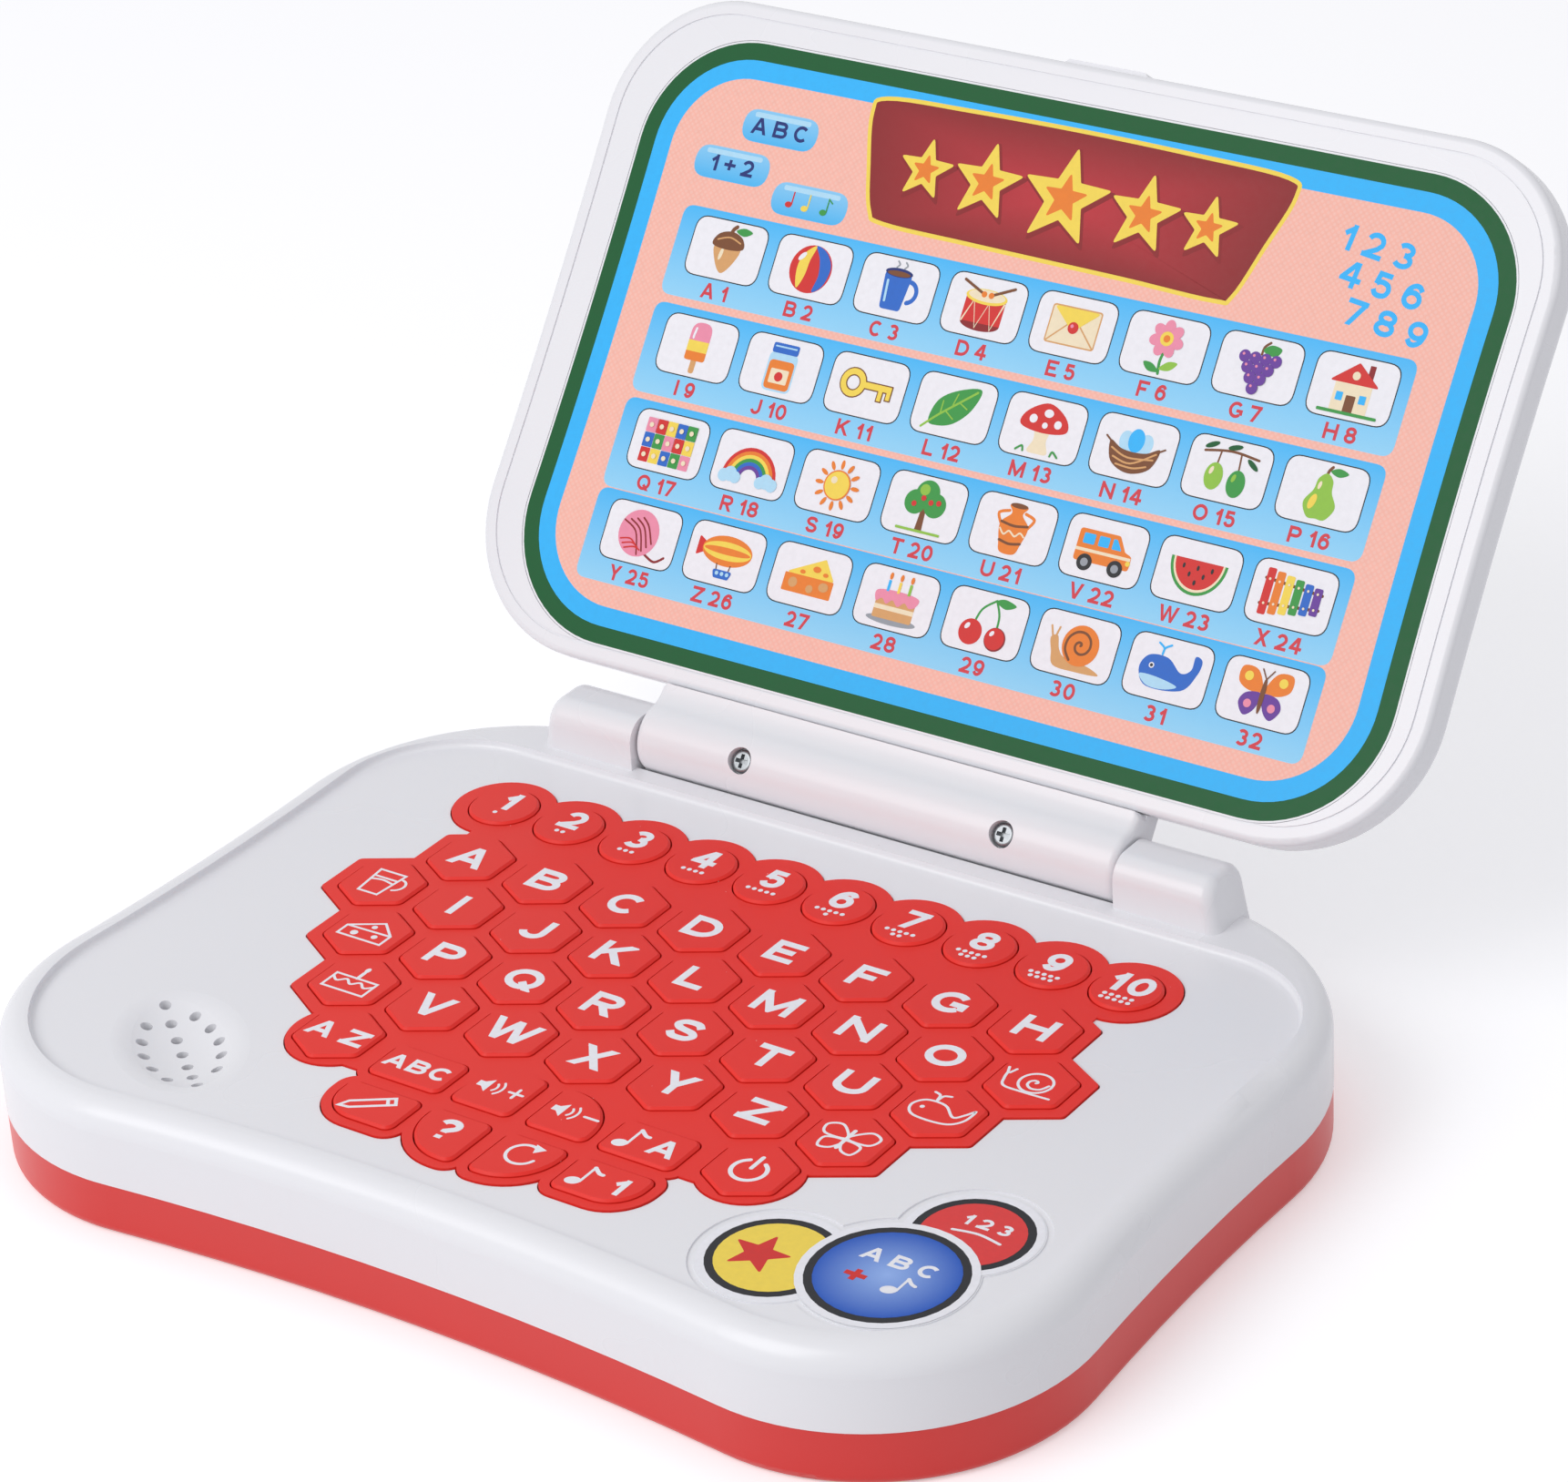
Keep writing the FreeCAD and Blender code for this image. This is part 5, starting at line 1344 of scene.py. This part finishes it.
@dataclass
class KeyMat:
    """The key mat and the white legends printed on its keys."""

    pitch_mm: float = 18.0
    row_y_mm: float = 24.7
    film_mm: float = 0.03
    step_mm: float = 0.004
    letter_mm: float = 6.9
    letter_rise_mm: float = 0.3
    digit_mm: float = 6.3
    digit_rise_mm: float = 1.8
    digit_stretch: float = 0.9
    dots_in_row: int = 5
    dot_mm: float = 0.48
    dot_pitch_mm: float = 1.4
    dot_row_mm: float = 1.35
    dot_drop_mm: float = 2.9
    line_mm: float = 0.5
    thin_mm: float = 0.4
    sound_mm: float = 0.42
    bar_mm: float = 0.55
    bold_mm: float = 0.75
    sign_scale: float = 1.1
    picture_scale: float = 1.3
    row_end_keys: int = 4
    mode_places: tuple[Point, ...] = ((-45.0, -37.65), (-25.2, -39.8), (-25.2, -53.4), (-8.2, -53.4),
                                      (8.2, -53.4))
    song_places: tuple[Point, ...] = ((25.2, -39.8), (25.2, -53.4))

    def finish_solids(self, nodes: dict[str, bpy.types.Object]) -> None:
        """Gives the mat and the keys their silicone."""
        dress(nodes, [name for name in nodes if name == "keypad_web" or name.startswith("key_")
                      or name.endswith("_keys")], RED_SILICONE)

    def legend(self, node: str, drawings: Sequence[tuple[Point, Sequence[Shape]]],
               scale: float = 1.0) -> None:
        """Prints the legends of one key node.

        Args:
            node: the key node, whose top the legends lie on.
            drawings: for each key, its centre and the shapes on it.
            scale: how much larger the shapes are drawn.
        """
        sheet = Print(f"legend_{node}", top_of(node), f"{node}_body", "red_silicone", self.film_mm,
                      self.step_mm)
        for centre, shapes in drawings:
            sheet.draw(shapes, centre, scale=scale)
        sheet.finish()

    def centre_of(self, node: str) -> Point:
        """Centre of a key in millimetres."""
        low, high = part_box(node)
        return (low.x + high.x) / 2 / MM, (low.y + high.y) / 2 / MM

    def print_letters(self) -> None:
        """Prints the letter keys."""
        for letter in string.ascii_lowercase:
            node = f"key_{letter}"
            shape = Words(Ink.WHITE, 0, self.letter_rise_mm, letter.upper(), self.letter_mm)
            self.legend(node, [(self.centre_of(node), (shape,))])

    def print_digits(self) -> None:
        """Prints the number keys: the number, with as many dots below it."""
        for number in range(1, 11):
            node = f"key_{number}"
            shapes: list[Shape] = [Words(Ink.WHITE, 0, self.digit_rise_mm, str(number), self.digit_mm,
                                         self.digit_stretch)]
            for row, first in enumerate(range(0, number, self.dots_in_row)):
                count = min(self.dots_in_row, number - first)
                for dot in range(count):
                    x = (dot - (count - 1) / 2) * self.dot_pitch_mm
                    shapes.append(Disc(Ink.WHITE, x, -self.dot_drop_mm - row * self.dot_row_mm,
                                       self.dot_mm))
            self.legend(node, [(self.centre_of(node), shapes)])

    def print_signs(self) -> None:
        """Prints the power and volume keys and the mode and song keys."""
        white, line, sound, bold = Ink.WHITE, self.line_mm, self.sound_mm, self.bold_mm
        power = (Line(white, tuple(arc(0, -0.4, 2.9, 120, 420, 12)), bold),
                 Line(white, ((0, 0.2), (0, 3.6)), bold))
        horn = (Poly(white, ((-4.2, -0.7), (-3.2, -0.7), (-1.9, -1.9), (-1.9, 1.9), (-3.2, 0.7),
                             (-4.2, 0.7)), 0.1),
                Line(white, tuple(arc(-2.0, 0, 1.5, -42, 42, 5)), sound),
                Line(white, tuple(arc(-2.0, 0, 2.6, -42, 42, 5)), sound))
        bar = Line(white, ((2.0, 0), (4.6, 0)), self.bar_mm, smooth=False)
        post = Line(white, ((3.3, -1.3), (3.3, 1.3)), self.bar_mm, smooth=False)
        single = {"key_power": power, "key_volume_up": horn + (bar, post), "key_volume_down": horn + (bar,)}
        for node, shapes in single.items():
            self.legend(node, [(self.centre_of(node), shapes)], self.sign_scale)
        loop = (Line(white, tuple(arc(0, 0, 2.3, 60, 345, 12)), line),
                Poly(white, ((0.3, 2.9), (2.3, 2.3), (1.0, 0.9))))
        pencil = (Line(white, ((-3.6, -2.4), (-2.9, -0.9), (2.4, 2.6), (3.3, 1.3), (-2.0, -2.2)), line,
                       True, False),
                  Line(white, ((1.5, 2.0), (2.4, 0.7)), line, smooth=False))
        modes = ((Words(white, 0, 0, "A Z", 3.8),), (Words(white, 0, 0, "ABC", 3.1),), pencil,
                 (Words(white, 0, 0, "?", 4.8),), loop)
        self.legend("mode_keys", list(zip(self.mode_places, modes)), self.picture_scale)
        note = (Disc(white, -3.6, -1.7, 1.15, 0.85, 20),
                Line(white, ((-2.6, -1.5), (-2.6, 2.2)), sound, smooth=False),
                Line(white, ((-2.6, 2.2), (-1.4, 1.3), (-0.7, 1.2)), 0.6))
        songs = [note + (Words(white, 2.6, 0, mark, 3.8),) for mark in "A1"]
        self.legend("song_keys", list(zip(self.song_places, songs)), self.picture_scale)

    def print_pictures(self) -> None:
        """Prints line drawings on the picture keys, three at each end of the letter rows."""
        white, line = Ink.WHITE, self.thin_mm
        cup = (Line(white, ((-2.6, 3.0), (-2.0, -3.2), (1.4, -3.2), (2.0, 3.0)), line, True, False),
               Line(white, tuple(arc(2.0, 0.3, 1.6, -70, 80, 8)), line),
               Line(white, ((-2.4, 1.2), (1.8, 1.2)), line),
               Line(white, ((-2.2, 0.2), (-0.4, 0.6), (1.6, 0.2)), line))
        cheese = (Line(white, ((-3.8, -2.4), (-3.8, 0.0), (1.0, 2.8), (3.8, 0.2), (3.8, -2.4)), line, True,
                       False),
                  Line(white, ((-3.8, 0.0), (3.8, 0.2)), line), Disc(white, -1.6, -1.3, 0.6),
                  Disc(white, 1.8, -1.0, 0.5), Disc(white, 0.2, 1.2, 0.45))
        cake = (Line(white, ((-3.6, -2.8), (-3.6, 0.8), (3.6, 0.8), (3.6, -2.8)), line, True, False),
                Line(white, ((-3.6, 0), (-2.4, -0.9), (-1.2, 0), (0, -0.9), (1.2, 0), (2.4, -0.9),
                             (3.6, 0)), line),
                Line(white, ((0, 0.8), (0, 2.4)), 0.6), Disc(white, 0, 3.2, 0.4, 0.65))
        snail = (Line(white, tuple(arc(0.6, 0.2, 2.4, 0, 350, 16)), line, True),
                 Line(white, spiral(0.6, 0.2, 0.24, 0.8, 9), line),
                 Line(white, ((4.2, -2.4), (0, -2.5), (-3.0, -2.3), (-3.9, -0.6), (-4.2, 0.8)), line),
                 Line(white, ((-4.2, 0.8), (-4.7, 2.0)), line),
                 Line(white, ((-3.9, 0.8), (-3.5, 2.0)), line))
        whale = (Line(white, ((-4.2, -0.4), (-3.0, 1.6), (0, 1.6), (2.4, -0.4), (3.6, 0.8), (4.4, 2.2),
                              (4.2, -0.6), (2.2, -2.4), (-2.6, -2.4)), line, True),
                 Disc(white, -2.6, -0.1, 0.35),
                 Line(white, ((-1.6, 2.2), (-1.4, 3.4), (-0.4, 3.8)), line),
                 Line(white, ((-1.7, 2.2), (-2.0, 3.4), (-3.0, 3.8)), line))
        butterfly = (Line(white, ((0, 0.4), (-2.2, 3.0), (-4.2, 2.2), (-3.4, 0.2)), line, True),
                     Line(white, ((0, 0.4), (2.2, 3.0), (4.2, 2.2), (3.4, 0.2)), line, True),
                     Line(white, ((0, -0.2), (-2.8, -0.6), (-2.6, -2.8), (-0.8, -2.4)), line, True),
                     Line(white, ((0, -0.2), (2.8, -0.6), (2.6, -2.8), (0.8, -2.4)), line, True),
                     Line(white, ((0, -2.2), (0, 2.4)), 0.6))
        drawings = []
        for row, (left, right) in enumerate(((cup, snail), (cheese, whale), (cake, butterfly))):
            y = self.row_y_mm - (row + 1) * self.pitch_mm * math.sqrt(3) / 2
            # In a honeycomb each row ends half a key further in
            reach = (self.row_end_keys - row / 2) * self.pitch_mm
            drawings += [((-reach, y), left), ((reach, y), right)]
        self.legend("picture_keys", drawings, self.picture_scale)


@dataclass
class Lid:
    """The lid's shell and the printed sheet in it."""

    hinge_mm: tuple[float, float, float] = (-1.0, 74.2, 31.3)
    tilt_deg: float = 54.1
    sheet_top_mm: float = 2.51
    sheet_low: float = 13.5
    sheet_high: float = 137.1
    sheet_half: float = 96.9
    sheet_shift: float = 0.25
    low_corner: float = 25.0
    high_corner: float = 23.0
    waist_y: float = 85.0
    waist_radius: float = 1500.0
    edge_mm: float = 0.35
    green_mm: float = 3.5
    blue_mm: float = 3.9
    print_weight: float = 0.2
    count_place: Point = (66.5, 121.5)
    count_step: Point = (3.0, -6.8)
    count_mm: float = 5.0
    count_turn: float = -7.0
    band_tops: tuple[float, ...] = (102.5, 82.5, 62.8, 44.2)
    band_sides: Point = (-82.5, 81.2)
    band_height: float = 18.4
    band_corner: float = 2.4
    tiles_in_band: int = 8
    tile_first: float = -70.1
    tile_pitch: float = 20.0
    tile_drop: float = 7.5
    tile_half: Point = (8.75, 6.1)
    tile_corner: float = 2.9
    face_half: Point = (8.52, 5.87)
    face_corner: float = 2.7
    caption_mm: float = 3.1
    caption_drop: float = 8.5
    caption_stretch: float = 0.9
    banner_rim: float = 0.85
    star_y: float = 118.6
    stars: tuple[Point, ...] = ((-31.5, 6.6), (-17.5, 8.2), (0, 10.2), (17.5, 8.2), (31.5, 6.6))
    star_shadow: Point = (0.5, -0.6)
    star_shadow_rim: float = 0.9
    star_heart: float = 0.5
    pill_places: tuple[Point, ...] = ((-66.2, 120.5), (-74.7, 111.7), (-54.8, 107.5))
    pill_half: Point = (8.8, 3.3)
    pill_corner: float = 3.25
    pill_text_mm: float = 3.3

    def finish_solids(self, nodes: dict[str, bpy.types.Object]) -> None:
        """Gives the lid's solids their finishes.

        Args:
            nodes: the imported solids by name.
        """
        dress(nodes, ["lid_front", "lid_back", "hinge_cover"], WHITE_ABS)
        dress(nodes, ["printed_sheet"], WHITE_CARD)
        dress(nodes, ["hinge_screws"], ZINC_STEEL)

    def plane(self) -> Plane:
        """Works out where the sheet's face lies.

        Returns:
            Its plane, with the zero point on the hinge axis at X = 0.
        """
        tilt = math.radians(self.tilt_deg)
        up = Vector((0, math.cos(tilt), math.sin(tilt)))
        out = Vector((0, -math.sin(tilt), math.cos(tilt)))
        axis = Vector((0, self.hinge_mm[1], self.hinge_mm[2])) * MM
        return Plane(axis + out * self.sheet_top_mm * MM, Vector((1, 0, 0)), up, self.tilt_deg)

    def outline(self, inset: float) -> Loop:
        """Outline of the sheet, moved inwards.

        Args:
            inset: how far.

        Returns:
            Points on the outline, counter-clockwise from the front right.
        """
        waist = Vector((self.sheet_half + self.waist_radius, self.waist_y))
        centres = []
        for y, radius in ((self.sheet_low + self.low_corner, self.low_corner),
                          (self.sheet_high - self.high_corner, self.high_corner)):
            reach = self.waist_radius + radius
            centres.append(Vector((waist.x - math.sqrt(reach ** 2 - (y - waist.y) ** 2), y)))
        low_end = math.degrees(math.atan2(waist.y - centres[0].y, waist.x - centres[0].x))
        high_end = math.degrees(math.atan2(waist.y - centres[1].y, waist.x - centres[1].x))
        right = arc(*centres[0], self.low_corner - inset, -90, low_end, 16)
        right += arc(*waist, self.waist_radius + inset, 180 + low_end, 180 + high_end, 12)[1:-1]
        right += arc(*centres[1], self.high_corner - inset, high_end, 90, 16)
        centre_x = self.hinge_mm[0] + self.sheet_shift
        return [(centre_x + x, y) for x, y in right] + [(centre_x - x, y) for x, y in right[::-1]]

    def print_sheet(self) -> None:
        """Prints the sheet: borders, picture bands, pills, banner and numbers."""
        sheet = Print("sheet_print", self.plane(), "lid", "printed_card")
        inset = self.edge_mm
        grounds = ((Ink.FOREST, self.green_mm), (Ink.SKY, self.blue_mm), (Ink.PEACH, 0))
        for layer, (ink, width) in enumerate(grounds):
            sheet.film(ink, self.outline(inset), None, layer)
            inset += width
        above = len(grounds)
        self.print_bands(sheet, above)
        self.print_banner(sheet, above)
        self.print_pills(sheet, above)
        for row, text in enumerate(("1 2 3", "4 5 6", "7 8 9")):
            place = (self.count_place[0] + row * self.count_step[0],
                     self.count_place[1] + row * self.count_step[1])
            line = Words(Ink.SKY, 0, 0, text, self.count_mm, 1.0, self.print_weight, self.count_turn)
            sheet.draw((line,), place, above)
        sheet.finish()

    def print_bands(self, sheet: Print, layer: int) -> None:
        """Prints four bands of tiles.

        Args:
            sheet: the print that gets them.
            layer: number of films below the bands.
        """
        captions = [f"{letter} {place}" for place, letter in enumerate(string.ascii_uppercase, 1)]
        captions += [str(place) for place in range(len(captions) + 1, len(PICTURES) + 1)]
        card = (Poly(Ink.BLACK, block(self.tile_half), self.tile_corner),
                Poly(Ink.WHITE, block(self.face_half), self.face_corner))
        left, right = self.band_sides
        for row, top in enumerate(self.band_tops):
            band = rectangle((left, top - self.band_height), (right, top))
            sheet.draw((Poly(Ink.BAND, band, self.band_corner),), layer=layer)
            for column in range(self.tiles_in_band):
                place = (self.tile_first + column * self.tile_pitch, top - self.tile_drop)
                number = row * self.tiles_in_band + column
                above = sheet.draw(card, place, layer + 1)
                sheet.draw(PICTURES[number], place, above)
                caption = Words(Ink.CAPTION, 0, -self.caption_drop, captions[number], self.caption_mm,
                                self.caption_stretch, self.print_weight)
                sheet.draw((caption,), place, layer + 1)

    def print_banner(self, sheet: Print, layer: int) -> None:
        """Prints the banner at the top: a plain red field with a yellow rim and a row of stars.

        Args:
            sheet: the print that gets it.
            layer: number of films below it.
        """
        rim = smoothed(((-47.3, 127.5), (-44.5, 131.2), (-25, 132.0), (0, 132.3), (25, 132.0), (45, 131.2),
                        (47.8, 127.5), (44.5, 117), (40.8, 106.6), (37, 105.0), (18, 105.4), (0, 105.6),
                        (-18, 105.8), (-37.5, 106.2), (-41.5, 108.4), (-44.6, 117)))
        sheet.film(Ink.YELLOW, rim, None, layer)
        sheet.film(Ink.BANNER, beside(rim, -self.banner_rim, True), None, layer + 1, True)
        for x, reach in self.stars:
            mark = (Poly(Ink.MAROON, star(*self.star_shadow, reach + self.star_shadow_rim), 0.5),
                    Poly(Ink.YELLOW, star(0, 0, reach), 0.4),
                    Poly(Ink.ORANGE, star(0, 0, reach * self.star_heart), 0.3))
            sheet.draw(mark, (x, self.star_y), layer + 2)

    def print_pills(self, sheet: Print, layer: int) -> None:
        """Prints three glossy pills.

        Args:
            sheet: the print that gets them.
            layer: number of films below them.
        """
        notes: list[Shape] = []
        heads = ((Ink.RED, -4.6, -1.0, ()), (Ink.YELLOW, -0.8, -1.2, ()),
                 (Ink.GREEN, 3.6, -1.2, ((5.2, 0.9),)))
        for ink, x, y, tail in heads:
            stem = ((x + 0.7, y + 0.1), (x + 0.7, 1.6), *tail)
            notes += [Disc(ink, x, y, 0.8, 0.6), Line(ink, stem, 0.3, smooth=False)]
        words = [(Words(Ink.NAVY, 0, 0, text, self.pill_text_mm, 1.0, self.print_weight),)
                 for text in ("A B C", "1 + 2")]
        body = (Poly(Ink.PILL, block(self.pill_half), self.pill_corner),
                Poly(Ink.PALE, rectangle((-6.6, 1.7), (6.6, 2.7)), 0.48))
        for place, mark in zip(self.pill_places, (*words, tuple(notes))):
            sheet.draw(body + mark, place, layer)


@dataclass
class Studio:
    """Floor, light and camera."""

    camera_mm: tuple[float, float, float] = (502.86, -644.01, 515.45)
    camera_turn_deg: tuple[float, float, float] = (61.7504, 3.1923, 34.5664)
    lens_mm: float = 121.562
    sensor_mm: float = 36.0
    sight_m: float = 20.0
    world_colour: str = "#FBFBFF"
    world_light: float = 0.58
    lamp_watts: float = 7.8
    lamp_size_m: float = 0.9
    lamp_place_m: tuple[float, float, float] = (-0.35, -0.95, 0.95)
    lamp_aim_m: tuple[float, float, float] = (0, 0.03, 0.05)
    floor_colour: str = "#EFEFF1"
    floor_roughness: float = 0.9
    floor_half_m: float = 4.0
    floor_lift: float = 0.36

    def set_camera(self) -> None:
        """Places the camera at the photograph's angle."""
        data = bpy.data.cameras.new("camera")
        data.lens = self.lens_mm
        data.sensor_width = self.sensor_mm
        data.clip_end = self.sight_m
        camera = bpy.data.objects.new("camera", data)
        camera.location = Vector(self.camera_mm) * MM
        camera.rotation_euler = Euler([math.radians(turn) for turn in self.camera_turn_deg], "XYZ")
        bpy.context.scene.collection.objects.link(camera)
        bpy.context.scene.camera = camera

    def seen(self, tree: bpy.types.NodeTree) -> bpy.types.NodeSocket:
        """Tells what the camera sees, straight or in a gloss, from what only lights the object.

        Args:
            tree: tree that gets the nodes.

        Returns:
            Socket that gives 1 for what is seen and 0 for the rest.
        """
        path = add_node(tree, "ShaderNodeLightPath")
        either = add_node(tree, "ShaderNodeMath", {"operation": "MAXIMUM"},
                          {0: path.outputs["Is Camera Ray"], 1: path.outputs["Is Glossy Ray"]})
        return either.outputs[0]

    def set_light(self) -> None:
        """Lights the object softly from the front left and all round."""
        world = bpy.data.worlds.new("studio")
        bpy.context.scene.world = world
        world.use_nodes = True
        tree = world.node_tree
        tree.nodes.clear()
        light = add_node(tree, "ShaderNodeBackground", None,
                         {"Color": linear(self.world_colour), "Strength": self.world_light})
        white = add_node(tree, "ShaderNodeBackground", None, {"Color": linear("#FFFFFF"), "Strength": 1.0})
        both = add_node(tree, "ShaderNodeMixShader", None,
                        {0: self.seen(tree), 1: light.outputs[0], 2: white.outputs[0]})
        add_node(tree, "ShaderNodeOutputWorld", None, {"Surface": both.outputs[0]})
        data = bpy.data.lights.new("softbox", "AREA")
        data.energy = self.lamp_watts
        data.size = self.lamp_size_m
        lamp = bpy.data.objects.new("softbox", data)
        lamp.location = self.lamp_place_m
        lamp.rotation_euler = (Vector(self.lamp_aim_m) - lamp.location).to_track_quat("-Z", "Y").to_euler()
        bpy.context.scene.collection.objects.link(lamp)

    def set_floor(self) -> None:
        """Lays a plain pale floor that shows white to the camera and keeps the shadow."""
        material, tree = new_material("pale_floor")
        lift = add_node(tree, "ShaderNodeMath", {"operation": "MULTIPLY"},
                        {0: self.seen(tree), 1: self.floor_lift})
        shader = add_node(tree, "ShaderNodeBsdfPrincipled", None,
                          {"Base Color": linear(self.floor_colour), "Roughness": self.floor_roughness,
                           "Specular IOR Level": 0.0, "Emission Color": linear("#FFFFFF"),
                           "Emission Strength": lift.outputs[0]})
        close_material(tree, shader)
        data = bpy.data.meshes.new("floor")
        mesh = bmesh.new()
        bmesh.ops.create_grid(mesh, x_segments=1, y_segments=1, size=self.floor_half_m)
        mesh.to_mesh(data)
        mesh.free()
        data.materials.append(material)
        floor = bpy.data.objects.new("floor", data)
        bpy.context.scene.collection.objects.link(floor)

    def build(self) -> None:
        """Sets up the whole studio."""
        self.set_camera()
        self.set_light()
        self.set_floor()
        bpy.context.scene.view_settings.view_transform = "Standard"


def main() -> None:
    logging.basicConfig(level=logging.INFO, format="%(name)s %(message)s")
    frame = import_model()
    nodes = frame["nodes"]
    case, mat, lid = Case(), KeyMat(), Lid()
    case.finish_solids(nodes)
    case.print_label()
    mat.finish_solids(nodes)
    mat.print_letters()
    mat.print_digits()
    mat.print_signs()
    mat.print_pictures()
    lid.finish_solids(nodes)
    lid.print_sheet()
    Studio().build()


if __name__ == "__main__":
    main()
